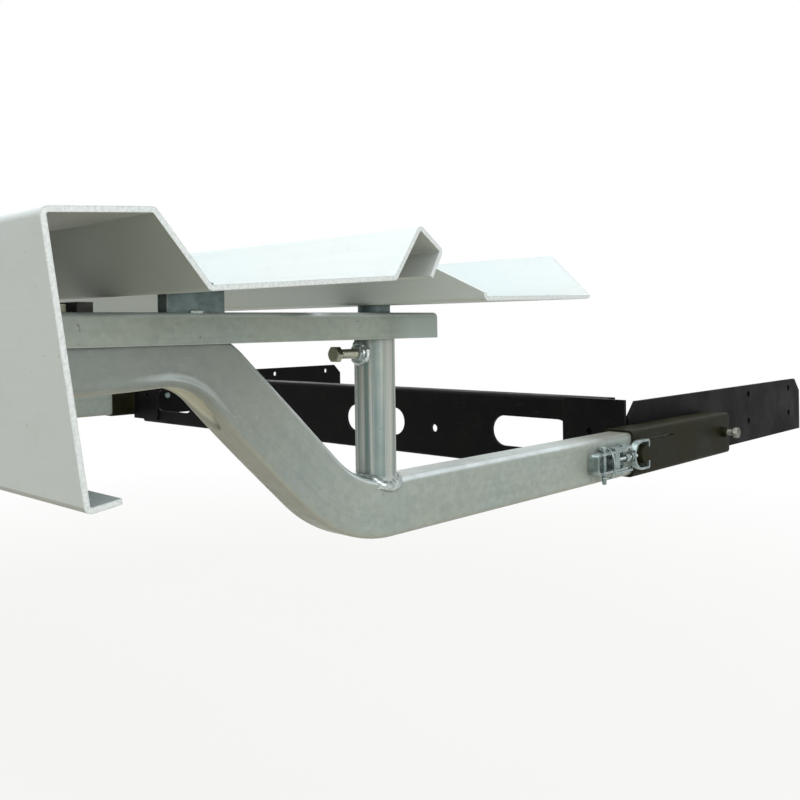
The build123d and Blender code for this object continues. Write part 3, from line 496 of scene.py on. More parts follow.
# The post's strong lengthwise streaks are partly drawn-tube streaks and partly painted reflection bands of
# the round tube
post_zinc = galvanised(
    "post_zinc", "ZXY", (0.17, 0.235, 0.24, 1), (0.50, 0.52, 0.505, 1),
    band=0.95, spread=0.08, width=0.006, metallic=0.3, sky_share=0.1)
print("dipped:", arm_zinc.name, saddle_zinc.name, post_zinc.name)

# %% [markdown]
# ## Plated parts
# Bolts, blocks and the latch are electroplated, which is smoother than dipped zinc. One recipe with
# a few tints serves: bluish zinc for the latch and blocks, and a dull yellow for the bolts, with a
# darker copy of it that paints the shadow on the clamp bolts.


# %% Plated zinc
PIT, PLATE_EDGE, PLATE_DIRT_AND_SHADE = (0.12, 0.11, 0.08, 1), (0.85, 0.87, 0.86, 1), (0.03, 0.028, 0.022, 1)


def plated(name, base, tint, smooth, rough_span, dirt_share=0.85, metallic=1.0):
    """Plating that clouds from base to tint, with pits, rubbed edges with a painted highlight, and dirt with
    painted shade in its corners.

    The roughness rises with the same clouds, from smooth by rough_span.
    """
    made, tree, shader = finish(name, metallic)
    place = object_place(tree)
    cloud = noise(tree, place, 85.0, 4.0, 0.6)
    fine = noise(tree, place, 900.0, 2.0)
    colour = mixed(tree, between(tree, cloud, 0.38, 0.64), base, tint)
    pits = between(tree, noise(tree, place, 420.0, 1.0), 0.66, 0.72)
    colour = layered(tree, colour, PIT, pits, 0.5)
    # Rubbed edges, brightened further with a painted highlight
    edges = use(tree, worn_edges, Vector=place, Radius=0.0006, Break_Up=0.5)[0]
    colour = layered(tree, colour, PLATE_EDGE, edges, 0.7)
    # Dirt and painted shade in the corners, from occlusion
    dirt = use(tree, settled_dirt, Vector=place, Reach=0.006)[0]
    colour = layered(tree, colour, PLATE_DIRT_AND_SHADE, dirt, dirt_share)
    rough = between(tree, cloud, 0.3, 0.7, smooth, smooth + rough_span)
    rough = calc(tree, "MULTIPLY_ADD", dirt, 0.35, rough)
    connect(tree, shader, colour, rough, fine, 0.00003)
    return made


bright_zinc = plated(
    "bright_zinc", (0.33, 0.395, 0.39, 1), (0.19, 0.245, 0.24, 1), 0.16, 0.16, dirt_share=0.95, metallic=0.7)
blue_zinc = plated("blue_zinc", (0.18, 0.245, 0.245, 1), (0.12, 0.165, 0.17, 1), 0.34, 0.15, metallic=0.45)
# A darker copy of the olive plating, as painted shadow on the clamp bolts
worn_olive = plated("worn_olive", (0.22, 0.22, 0.19, 1), (0.10, 0.10, 0.085, 1), 0.3, 0.2, metallic=0.7)
olive_zinc = plated("olive_zinc", (0.42, 0.42, 0.31, 1), (0.26, 0.27, 0.2, 1), 0.22, 0.2)
print("plated:", bright_zinc.name, blue_zinc.name, worn_olive.name, olive_zinc.name)

# %% [markdown]
# ## Weld metal
# A weld that went through the zinc bath is smooth and bright, with a soft ripple that the geometry
# carries. The finish only adds a tint that changes along the bead, dark pinholes, and dirt with
# painted shade in its corners.

# %% Zinc over weld
WELD_DARK, WELD_PALE = (0.32, 0.37, 0.365, 1), (0.55, 0.60, 0.595, 1)
PINHOLE, WELD_DIRT_AND_SHADE = (0.12, 0.12, 0.1, 1), (0.06, 0.06, 0.05, 1)

weld_zinc, tree, shader = finish("weld_zinc", 0.6)
place = object_place(tree)
tint = noise(tree, place, 120.0)
colour = mixed(tree, between(tree, tint, 0.35, 0.65), WELD_DARK, WELD_PALE)
pinholes = between(tree, noise(tree, place, 520.0, 1.0), 0.72, 0.75)
colour = layered(tree, colour, PINHOLE, pinholes, 0.6)
# Dirt and painted shade in the bead's corners, from occlusion
dirt = use(tree, settled_dirt, Vector=place, Reach=0.004)[0]
colour = layered(tree, colour, WELD_DIRT_AND_SHADE, dirt, 0.7)
rough = between(tree, tint, 0.3, 0.7, 0.18, 0.34)
connect(tree, shader, colour, rough, noise(tree, place, 260.0, 2.0), 0.00005)
print("weld finish:", weld_zinc.name)

# %% [markdown]
# ## Black powder coat
# The sleeves and the cross member are powder coated: black, half matt, with the slight orange peel of
# melted powder. Road dust greys it, and paint is rubbed thin on the corners.


# %% Powder coat
THIN_PAINT, PAINT_MARK = (0.09, 0.085, 0.075, 1), (0.08, 0.076, 0.064, 1)


def powder_coat(name, black, dust_colour, dust_share, specular):
    """Black paint with orange peel, dust in drifts, rubbed corners and light handling marks."""
    made, tree, shader = finish(name, 0.0, specular=specular)
    place = object_place(tree)
    peel = noise(tree, place, 520.0, 2.0)
    dust = between(tree, noise(tree, place, 14.0, 4.0, 0.65), 0.35, 0.7, 0.0, dust_share)
    colour = mixed(tree, dust, black, dust_colour)
    edges = use(tree, worn_edges, Vector=place, Radius=0.0012, Break_Up=0.8)[0]
    colour = layered(tree, colour, THIN_PAINT, edges, 0.4)
    marks = use(tree, scratches, Vector=place, Length=0.03, Width=0.004, Amount=0.5)[0]
    colour = layered(tree, colour, PAINT_MARK, marks, 0.35)
    rough = between(tree, dust, 0.0, dust_share, 0.4, 0.62)
    connect(tree, shader, colour, rough, peel, 0.00009)
    return made


sleeve_black = powder_coat("sleeve_black", (0.009, 0.009, 0.004, 1), (0.034, 0.033, 0.017, 1), 0.5, 0.07)
beam_black = powder_coat("beam_black", (0.004, 0.004, 0.0045, 1), (0.013, 0.012, 0.011, 1), 0.4, 0.05)
print("coated:", sleeve_black.name, beam_black.name)

# %% Rubber pads under the skirt side of the saddles
RUBBER, CHALK = (0.03, 0.029, 0.027, 1), (0.12, 0.115, 0.1, 1)

pad_rubber, tree, shader = finish("pad_rubber", 0.0, specular=0.35)
place = object_place(tree)
speckle = noise(tree, place, 800.0, 3.0, 0.7)
chalk = between(tree, noise(tree, place, 60.0, 4.0), 0.45, 0.7, 0.0, 0.4)
colour = mixed(tree, chalk, RUBBER, CHALK)
connect(tree, shader, colour, between(tree, speckle, 0.3, 0.7, 0.6, 0.8), speckle, 0.0001)
print("materials:", len(bpy.data.materials))

# %% [markdown]
# ## Dressing the CAD solids
# A node's finish is chosen by its name, and the right and left ones share it. Every node gets one, also
# those that a piece made below stands for. The latch and the rail screws, which aren't listed, get
# bright zinc.

# %% Finishes of the carried-over nodes
FINISHES = (
    (main_sheet, "wheel_rail"), (front_sheet, "front_rail"), (saddle_zinc, "saddle arm"),
    (post_zinc, "post"), (weld_zinc, "set_nut"), (pad_rubber, "saddle_pads"),
    (blue_zinc, "levelling_tube tube_plug support_block plate_bolts"),
    (olive_zinc, "saddle_bolts set_bolt"), (worn_olive, "clamp_bolt"),
    (sleeve_black, "socket catch clamp_nut"), (beam_black, "end_bracket chassis_plate cross_member"),
)
finish_of = {kind: chosen for chosen, kinds in FINISHES for kind in kinds.split()}
for name, node in nodes.items():
    kind = name.replace("_right", "").replace("_left", "")
    for material_slot in node.material_slots:
        material_slot.material = finish_of.get(kind, bright_zinc)
print("finished nodes:", len(nodes))

# %% [markdown]
# ## Surfaces from grids
# Every new piece is a grid of points. Rows run along the piece and columns round it. Where the piece is
# a ring, the last row joins the first; where it ends, one extra point closes it. A closed surface has a
# signed volume, and its sign tells whether the faces look outwards, so a mirrored piece is turned right.


# %% Grid to mesh
def surface(name, grid, ring=False, extra=None, smooth=True):
    """A closed mesh from grid[row, column, xyz], whose columns always join round.

    Faces: point (i, j) joins (i+1, j), (i+1, j+1) and (i, j+1). With ring, row n-1 joins row 0;
    without it, a fan from the middle of the first and of the last row closes the ends. The faces
    are turned over if the sum of their signed tetrahedra is negative. extra is a vector for every point
    of a ring, stored as the attribute "straightened".
    """
    rows, columns = grid.shape[:2]
    points = grid.reshape(-1, 3)
    i, j = np.meshgrid(np.arange(rows if ring else rows - 1), np.arange(columns), indexing="ij")
    a, b = i * columns, ((i + 1) % rows) * columns
    k = (j + 1) % columns
    quads = np.stack([a + j, b + j, b + k, a + k], -1).reshape(-1, 4)
    faces = quads.tolist()
    triangles = np.concatenate([quads[:, [0, 1, 2]], quads[:, [0, 2, 3]]])
    if not ring:
        first, last = len(points), len(points) + 1
        points = np.vstack([points, grid[0].mean(0), grid[-1].mean(0)])
        j = np.arange(columns)
        k = (j + 1) % columns
        start = np.stack([np.full(columns, first), j, k], -1)
        shift = (rows - 1) * columns
        end = np.stack([np.full(columns, last), shift + k, shift + j], -1)
        faces += start.tolist() + end.tolist()
        triangles = np.concatenate([triangles, start, end])
    corner = points[triangles]
    volume = np.einsum("ij,ij->i", corner[:, 0], np.cross(corner[:, 1], corner[:, 2])).sum() / 6
    if volume < 0:
        faces = [face[::-1] for face in faces]
    mesh = bpy.data.meshes.new(name)
    mesh.from_pydata(points.tolist(), [], faces)
    if extra is not None:
        store = mesh.attributes.new("straightened", "FLOAT_VECTOR", "POINT")
        store.data.foreach_set("vector", extra.astype(np.float32).ravel())
    mesh.polygons.foreach_set("use_smooth", np.full(len(faces), smooth))
    mesh.update()
    return placed(name, mesh)


def dress(piece, material, body, slot, *replaced):
    """Gives a new piece its finish and its body, and hides the nodes that it stands for; slot is not used.
    """
    piece.data.materials.append(material)
    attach(piece, body)
    if replaced:
        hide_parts(*replaced)
    return piece


SIDES = (("right", 1.0), ("left", -1.0))

# %% [markdown]
# ## The cranked arm
# The arm is 60 by 40 mm tube with a 4 mm wall, bent twice. A tube that is bent without a mandrel
# flattens a little, its inner wall buckles inwards into a long dish, and the metal that has nowhere to
# go swells out beside it. So the arm is a profile carried along a path, and pressed near each bend. A
# modifier could bend a straight tube, but it would keep the profile unharmed.

# %% Path of the arm's centre line
arm_low, arm_high = solid_box("arm_right")
ARM_X, HALF_W = (arm_low[0] + arm_high[0]) / 2, (arm_high[0] - arm_low[0]) / 2
HALF_H, CORNER, WALL = 0.030, 0.006, 0.004
UPPER_Z, LOWER_Z = arm_high[2] - HALF_H, arm_low[2] + HALF_H
ARM_START, ARM_END_Y = np.array([arm_low[1], UPPER_Z]), arm_high[1]
CRANK_REAR, CRANK_FRONT = np.array([-0.785, UPPER_Z]), np.array([-0.609, LOWER_Z])
REAR_R, FRONT_R = 0.092, 0.140
LINE_STEP = 2.5e-4

slope = math.atan2(CRANK_REAR[1] - CRANK_FRONT[1], CRANK_FRONT[0] - CRANK_REAR[0])
trim = math.tan(slope / 2)
run_lengths = [
    CRANK_REAR[0] - ARM_START[0] - REAR_R * trim,
    REAR_R * slope,
    float(np.hypot(*(CRANK_FRONT - CRANK_REAR))) - (REAR_R + FRONT_R) * trim,
    FRONT_R * slope,
    ARM_END_Y - CRANK_FRONT[0] - FRONT_R * trim,
]
marks_at = np.concatenate([[0.0], np.cumsum(run_lengths)])
curvature_of_runs = np.array([0.0, -1 / REAR_R, 0.0, 1 / FRONT_R, 0.0])
rear_bend, front_bend = (marks_at[1] + marks_at[2]) / 2, (marks_at[3] + marks_at[4]) / 2


def arm_line(s):
    """Y, Z and heading at the lengths s.

    Heading is the sum of curvature times length up to s. Inside a run of constant curvature it is
    linear, so place is summed from the middle heading of steps of LINE_STEP.
    """
    fine = np.arange(0.0, marks_at[-1] + 0.8 * LINE_STEP, LINE_STEP)
    middle = (fine[1:] + fine[:-1]) / 2
    run = np.clip(np.searchsorted(marks_at, middle) - 1, 0, 4)
    before = np.concatenate([[0.0], np.cumsum(curvature_of_runs * run_lengths)])
    heading = before[run] + curvature_of_runs[run] * (middle - marks_at[run])
    step = np.diff(fine)
    y = ARM_START[0] + np.concatenate([[0.0], np.cumsum(np.cos(heading) * step)])
    z = ARM_START[1] + np.concatenate([[0.0], np.cumsum(np.sin(heading) * step)])
    return np.interp(s, fine, y), np.interp(s, fine, z), np.interp(s, middle, heading)


end_y, end_z, _ = arm_line(np.array([marks_at[-1]]))
print("arm length", round(marks_at[-1], 4), "ends at", end_y.round(4), end_z.round(4))


# %% Section of the tube, pressed near the bends
def tube_section(half_w, half_h, corner, per_corner=7, per_side=22):
    """Points round a rounded rectangle: four quarter circles joined by straight, divided sides."""
    angle = np.linspace(0, math.pi / 2, per_corner)
    arc = corner * np.stack([np.cos(angle), np.sin(angle)], -1)
    arcs = []
    for across, up in ((1, 1), (-1, 1), (-1, -1), (1, -1)):
        arcs.append(arc + (across * (half_w - corner), up * (half_h - corner)))
        arc = np.stack([-arc[:, 1], arc[:, 0]], -1)
    share = np.linspace(0, 1, per_side + 2)[1:-1, None]
    ring = []
    for part, following in zip(arcs, arcs[1:] + arcs[:1]):
        ring += [part, part[-1] + share * (following[0] - part[-1])]
    return np.concatenate(ring)


BENDS = (
    # middle of the bend, which wall is inside, flattening, swelling, half length of both
    (rear_bend, -1.0, 0.0038, 0.0024, 0.060),
    (front_bend, 1.0, 0.0012, 0.0010, 0.062),
)
# The swelling's bell and the dent beside it: height as a share of the half height, half width, weight.
BELL, DENT = (0.80, 0.17, 1.0), (0.45, 0.2, -0.25)
POCKET_MIDDLE, POCKET_HALF, POCKET_W = rear_bend + 0.021, 0.046, 0.0152
POCKET_FLANK, POCKET_DEPTH, POCKET_BELOW = 0.0048, 0.0085, -0.75
BENT_MARGIN, REAR_ROWS, BENT_ROWS, FRONT_ROWS = 0.06, 12, 210, 24


def pressed(s, across, up, half_w, half_h):
    """The section's coordinates at length s after bending.

    near = exp(-(distance to the bend / half length)^2). The inner half moves in by flattening times
    near, and the side walls swell by a bell curve, exp(-((height - middle) / half width)^2), close to
    the inner corner, less a lower one beside it. The pocket's half width is POCKET_W * sqrt(1 - u^2),
    where u runs from -1 to 1 along it, and its flank is the smooth step 3 t^2 - 2 t^3 over
    POCKET_FLANK.
    """
    for middle, inside, flat, swell, reach in BENDS:
        near = np.exp(-(((s - middle) / reach) ** 2))
        level = up * inside / half_h
        bell = sum(weight * np.exp(-(((level - at) / half) ** 2)) for at, half, weight in (BELL, DENT))
        up = up - inside * near * flat * np.clip(level, 0, 1) ** 2
        across = across + np.sign(across) * bell * swell * near * (np.abs(across) / half_w) ** 4
    u = np.clip((s - POCKET_MIDDLE) / POCKET_HALF, -1, 1)
    t = np.clip((POCKET_W * np.sqrt(1 - u**2) - np.abs(across)) / POCKET_FLANK, 0, 1)
    inner_wall = up < POCKET_BELOW * half_h
    return across, up + POCKET_DEPTH * (3 * t**2 - 2 * t**3) * inner_wall


def arm_tube(side_name, side):
    """The tube as a ring of rings: outer wall forwards, inner wall backwards, joined at both ends."""
    bent_from, bent_to = marks_at[1] - BENT_MARGIN, marks_at[4] + BENT_MARGIN
    outer_s = np.unique(np.concatenate([
        np.linspace(0, bent_from, REAR_ROWS), np.linspace(bent_from, bent_to, BENT_ROWS),
        np.linspace(bent_to, marks_at[-1], FRONT_ROWS)]))
    rows, places = [], []
    for s, half_w, half_h, corner in (
        (outer_s, HALF_W, HALF_H, CORNER),
        (outer_s[::-2], HALF_W - WALL, HALF_H - WALL, CORNER - WALL),
    ):
        section = tube_section(half_w, half_h, corner)
        length = np.repeat(s[:, None], len(section), 1)
        section_across, section_up = (np.tile(column, (len(s), 1)) for column in section.T)
        across, up = pressed(length, section_across, section_up, half_w, half_h)
        y, z, heading = (value[:, None] for value in arm_line(s))
        x = side * (ARM_X + across)
        rows.append(np.stack([x, y - up * np.sin(heading), z + up * np.cos(heading)], -1))
        places.append(np.stack([length, across, up], -1))
    grid, straight_place = np.concatenate(rows), np.concatenate(places)
    return surface(f"arm_tube_{side_name}", grid, ring=True, extra=straight_place)


for side_name, side in SIDES:
    tube = dress(arm_tube(side_name, side), arm_zinc, "frame", "galvanised_steel", f"arm_{side_name}")
    print(tube.name, len(tube.data.polygons), "faces")

# %% [markdown]
# ## Weld beads
# A bead is a round profile carried along the joint's own line, and its radius swells and shrinks with
# every touch of the torch. The post's bead climbs over the tube's rounded shoulders, so its line is
# worked out from both shapes, and then averaged with its neighbours, which rounds its corners.


# %% Bead along a line
def bead(name, line, radius, ripple, closed=False, up=(0.0, 0.0, 1.0), around=16, relief=0.12):
    """A rippled tube along line[n, xyz]; radius is one number or one for each point.

    Radius at length s and angle a: radius * (1 - relief + relief |sin(pi s / ripple - 0.8 cos a)|), and
    an open bead's ends shrink by the square root of the distance from the end.
    """
    if closed:
        ahead_of = np.roll(line, -1, 0) - np.roll(line, 1, 0)
        steps = np.linalg.norm(np.roll(line, -1, 0) - line, axis=1)
        s = np.concatenate([[0.0], np.cumsum(steps)[:-1]])
        ripple = steps.sum() / round(steps.sum() / ripple)
        ends = np.ones(len(line))
    else:
        ahead_of = np.gradient(line, axis=0)
        s = np.concatenate([[0.0], np.cumsum(np.linalg.norm(np.diff(line, axis=0), axis=1))])
        ends = np.sqrt(np.clip(np.minimum(s, s[-1] - s) / (1.5 * np.max(radius)), 0.02, 1))
    ahead_of /= np.linalg.norm(ahead_of, axis=1, keepdims=True)
    first = np.array(up) - ahead_of * (ahead_of @ np.array(up))[:, None]
    first /= np.linalg.norm(first, axis=1, keepdims=True)
    second = np.cross(ahead_of, first)
    angle = np.linspace(0, 2 * math.pi, around, endpoint=False)
    wave = 1 - relief + relief * np.abs(np.sin(math.pi * s[:, None] / ripple - 0.8 * np.cos(angle)))
    size = wave * (radius * ends)[:, None]
    grid = (line[:, None] + (size * np.cos(angle))[..., None] * first[:, None]
            + (size * np.sin(angle))[..., None] * second[:, None])
    return surface(name, grid, ring=closed)


# %% Bead round the post's foot
POST_Y, POST_R = -0.559, 0.0212
LOWER_TOP = LOWER_Z + HALF_H
SAG, SHOULDER_FROM, SHOULDER_SPAN = 0.0066, 0.62, 0.42
CLEAR_OF_POST, CLEAR_OF_ARM, FOOT_HALF_X = 0.0008, 0.0004, 0.0208
FOOT_THIN, FOOT_SWELL, SWELL_TURN, FOOT_RIPPLE = 0.0036, 0.0028, 0.15, 0.0066
HALF_KERNEL = 12


def shoulder(x, y):
    """Height of the bead's line on the arm: the flat top, dropping over the shoulder to SAG below it.

    The drop is SAG * (3 t^2 - 2 t^3), where t runs from 0 to 1 as |x| goes from SHOULDER_FROM of the
    half width over SHOULDER_SPAN of it. Behind the bend's end the top climbs by
    distance^2 / (2 * inner radius), the distance being that from the bend's end.
    """
    t = np.clip((np.abs(x) / HALF_W - SHOULDER_FROM) / SHOULDER_SPAN, 0, 1)
    bend_end = CRANK_FRONT[0] + FRONT_R * trim
    climb = np.clip(bend_end - y, 0, None) ** 2 / (2 * (FRONT_R - HALF_H))
    return LOWER_TOP - SAG * (3 * t**2 - 2 * t**3) + climb


def softened(line):
    """A closed line averaged with HALF_KERNEL neighbours each way, by the weights of a Hann window."""
    weights = np.hanning(2 * HALF_KERNEL + 3)[1:-1]
    weights /= weights.sum()
    wrapped = np.concatenate([line[-HALF_KERNEL:], line, line[:HALF_KERNEL]])
    return np.stack([np.convolve(column, weights, "valid") for column in wrapped.T], -1)


turn_angle = np.linspace(0, 2 * math.pi, 240, endpoint=False)
foot_x, foot_y = (POST_R + CLEAR_OF_POST) * np.array([np.cos(turn_angle), np.sin(turn_angle)])
foot_z = shoulder(foot_x, POST_Y + foot_y) + CLEAR_OF_ARM
held_x = np.clip(foot_x, -FOOT_HALF_X, FOOT_HALF_X)
foot_line = softened(np.stack([ARM_X + held_x, POST_Y + foot_y, foot_z], -1))
foot_r = FOOT_THIN + FOOT_SWELL * np.clip(np.cos(turn_angle - SWELL_TURN), 0, 1) ** 2
for side_name, side in SIDES:
    piece = bead(f"foot_bead_{side_name}", foot_line * (side, 1, 1), foot_r, FOOT_RIPPLE,
                 closed=True, relief=0.08)
    dress(piece, weld_zinc, "frame", "galvanised_steel")
print("foot bead from z", foot_z.min().round(4), "to", foot_z.max().round(4))

# %% Beads at the set nut, the blocks and the sleeves
set_low, set_high = solid_box("set_bolt_right")
block_low, block_high = solid_box("support_block_right")
bracket_low, bracket_high = solid_box("end_bracket_right")
socket_low, socket_high = solid_box("socket_right")
SET_Z, NUT_BEAD_R = (set_low[2] + set_high[2]) / 2, 0.0098
BLOCK_BEAD_X, BLOCK_BEAD_Z = block_high[0] + 0.0012, block_low[2] + 0.0005
BLOCK_BEAD_Y = (-0.797, -0.783)
BRACKET_BEAD_X = socket_low[0] - 0.0004
BRACKET_BEAD_Z = (socket_low[2] + 0.0019, socket_high[2] - 0.0019)
BRACKET_BEAD_Y = {"rear": bracket_low[1] - 0.0002, "front": bracket_high[1] + 0.0012}

nut_x, nut_z = NUT_BEAD_R * np.cos(turn_angle), NUT_BEAD_R * np.sin(turn_angle)
nut_y = POST_Y - np.sqrt(POST_R**2 - nut_x**2) - CLEAR_OF_POST
nut_line = np.stack([nut_x, nut_y, SET_Z + nut_z], -1)
nut_r = 0.0034 + 0.0008 * np.sin(5 * turn_angle + 1.0) * np.sin(2 * turn_angle)
block_line = np.linspace(*[(BLOCK_BEAD_X, y, BLOCK_BEAD_Z) for y in BLOCK_BEAD_Y], 40)
for side_name, side in SIDES:
    piece = bead(f"nut_bead_{side_name}", nut_line + (side * ARM_X, 0, 0), nut_r, ripple=0.0058,
                 closed=True, up=(0, -1, 0), relief=0.1)
    dress(piece, weld_zinc, "frame", "galvanised_steel")
    piece = bead(f"block_bead_{side_name}", block_line * (side, 1, 1), radius=0.0017, ripple=0.004)
    dress(piece, weld_zinc, "frame", "galvanised_steel")
    for label, y in BRACKET_BEAD_Y.items():
        line = np.linspace(*[(side * BRACKET_BEAD_X, y, z) for z in BRACKET_BEAD_Z], 60)
        piece = bead(f"bracket_bead_{label}_{side_name}", line, radius=0.0026, ripple=0.003, up=(0, 1, 0))
        dress(piece, sleeve_black, "frame", "black_paint")
print("beads made")

# %% [markdown]
# ## Threads and bolts
# A bolt is one surface too: at every distance along its axis there is a radius for every angle round
# it. The head's radius is that of a hexagon, held below a cone that chamfers the corners. The
# thread's radius falls and rises once per pitch, and the groove moves on with the angle.


# %% Turned surface
COLUMNS = 48
bolt_angle = np.linspace(0, 2 * math.pi, COLUMNS, endpoint=False)


def turned(name, start, axis, distances, radii):
    """A surface round an axis: radii[row, column] at the distances along it.

    point = start + distance * axis + radius * (cos(angle) * side_way + sin(angle) * other), where
    side_way and other stand square to the axis.
    """
    axis = np.array(axis, float)
    side_way = np.array([0.0, 0.0, 1.0]) if abs(axis[2]) < 0.5 else np.array([1.0, 0.0, 0.0])
    other = np.cross(axis, side_way)
    ring_of = np.cos(bolt_angle)[:, None] * side_way + np.sin(bolt_angle)[:, None] * other
    grid = np.array(start) + distances[:, None, None] * axis + radii[..., None] * ring_of
    return surface(name, grid, smooth=False)


# %% Hexagon bolt with its thread
HEAD_H, NECK_H, TIP_H = 0.0064, 0.0004, 0.0008
CHAMFER_SHARE, CHAMFER_SLOPE = 0.475, 1.7  # of the flats at the head's top, and outwards per depth
WASHER_SHARE, NECK_SHARE, TIP_SHARES = 0.985, 0.9, np.array([0.95, 0.76])
CROWN_H = np.array([0.0, 0.0002, 0.0005, 0.0009, 0.0013, HEAD_H - 0.0002, HEAD_H])
ROWS_PER_PITCH = 8
M10 = {"radius": 0.005, "pitch": 0.0015, "depth": 0.00085}
M6 = {"radius": 0.003, "pitch": 0.001, "depth": 0.00055}


def hexagon_radius(flats):
    """Radius of a hexagon: half the flats over the cosine of the angle to the nearest flat."""
    near_flat = (bolt_angle + math.pi / 6) % (math.pi / 3) - math.pi / 6
    return flats / 2 / np.cos(near_flat)


def threaded(distances, radius, pitch, depth):
    """Radius of a thread: radius - depth * (1 - |2 frac(distance / pitch - angle / 2 pi) - 1|)^1.2."""
    phase = distances[:, None] / pitch - bolt_angle / (2 * math.pi)
    ridge = np.abs(2 * (phase % 1.0) - 1)
    return radius - depth * (1 - ridge) ** 1.2


def bolt(name, head_top, axis, flats, length, thread):
    """A hexagon bolt of a whole length from the top of its head along axis, threaded up to the head.

    The head's radius is the hexagon's or, where it is less, the chamfer's: CHAMFER_SHARE * flats +
    CHAMFER_SLOPE * depth. The other shares are of the head's radius or the thread's.
    """
    radius = thread["radius"]
    chamfer = flats * CHAMFER_SHARE + CHAMFER_SLOPE * CROWN_H
    crown = np.minimum(hexagon_radius(flats)[None], chamfer[:, None])
    crown[-1] *= WASHER_SHARE
    neck_at = np.array([HEAD_H, HEAD_H + NECK_H])
    neck = np.full((2, COLUMNS), radius * NECK_SHARE)
    pitch_step = thread["pitch"] / ROWS_PER_PITCH
    shank_at = np.arange(HEAD_H + 1.5 * NECK_H, length - 1.5 * TIP_H, pitch_step)
    shank = threaded(shank_at, **thread)
    tip_at = np.array([length - TIP_H, length])
    tip = (radius * TIP_SHARES)[:, None] * np.ones(COLUMNS)
    distances = np.concatenate([CROWN_H, neck_at, shank_at, tip_at])
    return turned(name, head_top, axis, distances, np.concatenate([crown, neck, shank, tip]))


# %% Bolts and draw rods
clamp_low, clamp_high = solid_box("clamp_bolt_right")
rod_low, rod_high = solid_box("draw_rod_right")
CLAMP_Y, CLAMP_Z = (clamp_low[1:] + clamp_high[1:]) / 2
ROD_X, ROD_Z = (rod_low[0] + rod_high[0]) / 2, rod_high[2] - M6["radius"]
SET_FLATS, CLAMP_FLATS = 0.015, 0.016
ROD_END_GAP, ROD_END_R = 0.0006, 0.0024

rod_length = rod_high[1] - rod_low[1]
rod_rows = np.arange(ROD_END_GAP, rod_length - ROD_END_GAP, M6["pitch"] / ROWS_PER_PITCH)
rod_at = np.concatenate([[0.0], rod_rows, [rod_length]])
rod_r = threaded(rod_at, **M6)
rod_r[[0, -1]] = ROD_END_R
for side_name, side in SIDES:
    piece = bolt(f"set_bolt_threaded_{side_name}", (side * ARM_X, set_low[1], SET_Z), (0, 1, 0),
                 SET_FLATS, set_high[1] - set_low[1], M10)
    dress(piece, olive_zinc, f"set_bolt_{side_name}", "yellow_zinc", f"set_bolt_{side_name}")
    piece = bolt(f"clamp_bolt_threaded_{side_name}", (side * clamp_high[0], CLAMP_Y, CLAMP_Z), (-side, 0, 0),
                 CLAMP_FLATS, clamp_high[0] - clamp_low[0], M10)
    dress(piece, worn_olive, f"clamp_bolt_{side_name}", "yellow_zinc", f"clamp_bolt_{side_name}")
    rod_start = (side * ROD_X, rod_low[1], ROD_Z)
    piece = turned(f"draw_rod_threaded_{side_name}", rod_start, (0, 1, 0), rod_at, rod_r)
    dress(piece, bright_zinc, f"draw_hook_{side_name}", "bright_zinc", f"draw_rod_{side_name}")
print("bolts and rods made")

# %% [markdown]
# ## Floor, backdrop and light
# The object hangs over a plain pale floor in a white studio. Seen by the camera and in the metal, the
# backdrop is white. Large soft lamps light it from above, so that what faces up is brightest and what
# faces down reflects the floor, as under an open sky.

# %% Floor
FLOOR_Z, FLOOR_HALF = -0.46, 30.0
SHADOW_MIDDLE, SHADOW_REACH, WHITE_FROM, NEAR_WHITE = (0.0, -0.365, FLOOR_Z), 1.0, 2.6, 0.88
FLOOR_TONE, WHITE = (0.42, 0.39, 0.29, 1), (1, 1, 1, 1)


def shows_backdrop(tree):
    """1 for the rays that show the white backdrop: the camera's, and those mirrored or let through."""
    path = add(tree, "LightPath").outputs
    indirect = calc(tree, "MAXIMUM", path["Is Glossy Ray"], path["Is Transmission Ray"])
    return calc(tree, "MAXIMUM", path["Is Camera Ray"], indirect)


corner_ways = ((-1, -1), (1, -1), (1, 1), (-1, 1))
floor_mesh = bpy.data.meshes.new("studio_floor")
corners = [(x * FLOOR_HALF, y * FLOOR_HALF, FLOOR_Z) for x, y in corner_ways]
floor_mesh.from_pydata(corners, [], [(0, 1, 2, 3)])
floor = placed("studio_floor", floor_mesh)

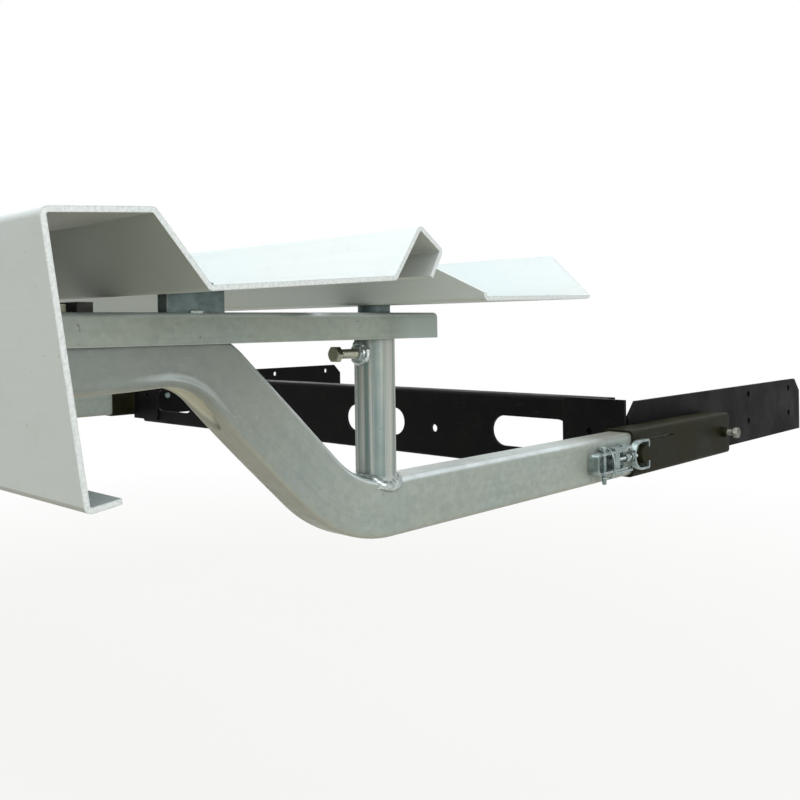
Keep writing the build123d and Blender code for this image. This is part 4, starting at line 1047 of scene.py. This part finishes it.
floor_finish, tree, shader = finish("studio_floor", 0.0, specular=0.1)
shader.inputs["Base Color"].default_value = FLOOR_TONE
shader.inputs["Roughness"].default_value = 0.9
away = vector_calc(tree, "DISTANCE", object_place(tree), SHADOW_MIDDLE)["Value"]
whiteness = between(tree, away, SHADOW_REACH, WHITE_FROM, NEAR_WHITE, 1.0)
share = times(tree, shows_backdrop(tree), whiteness)
white = add(tree, "Emission", {"Color": WHITE, "Strength": 1.0}).outputs[0]
lit = add(tree, "MixShader", {0: share, 1: shader.outputs[0], 2: white}).outputs[0]
underneath = add(tree, "NewGeometry").outputs["Backfacing"]
clear = add(tree, "BsdfTransparent").outputs[0]
both = add(tree, "MixShader", {0: underneath, 1: lit, 2: clear}).outputs[0]
tree.links.new(both, tree.nodes["Material Output"].inputs[0])
floor.data.materials.append(floor_finish)
print("floor at", FLOOR_Z)

# %% World and lamps
AMBIENT_TONE, AMBIENT_STRENGTH, LAMP_TONE = (0.92, 1.0, 1.0, 1), 0.44, (0.985, 1.0, 1.0)

world = bpy.data.worlds.new("studio")
bpy.context.scene.world = world
world.use_nodes = True
tree = world.node_tree
tree.nodes.clear()
ambient = add(tree, "Background", {0: AMBIENT_TONE, 1: AMBIENT_STRENGTH}).outputs[0]
backdrop = add(tree, "Background", {0: WHITE, 1: 1.0}).outputs[0]
both = add(tree, "MixShader", {0: shows_backdrop(tree), 1: ambient, 2: backdrop}).outputs[0]
add(tree, "OutputWorld", {0: both})


def soft_lamp(name, place, target, size, power):
    """A square area lamp that faces target."""
    data = bpy.data.lights.new(name, "AREA")
    data.shape, data.size, data.energy = "SQUARE", size, power
    data.color = LAMP_TONE
    lamp = placed(name, data)
    lamp.location = place
    lamp.rotation_euler = (Vector(target) - Vector(place)).to_track_quat("-Z", "Y").to_euler()


soft_lamp("sky_lamp", place=(0.3, -1.5, 3.0), target=(0.1, -0.5, 0.0), size=3.5, power=94)
soft_lamp("camera_side_lamp", place=(3.0, -1.4, 0.9), target=(0.5, -0.5, 0.0), size=1.8, power=34)
soft_lamp("far_side_lamp", place=(-2.6, 1.7, 1.8), target=(0.0, -0.3, 0.1), size=1.8, power=16)
print("lamps:", len(bpy.data.lights))
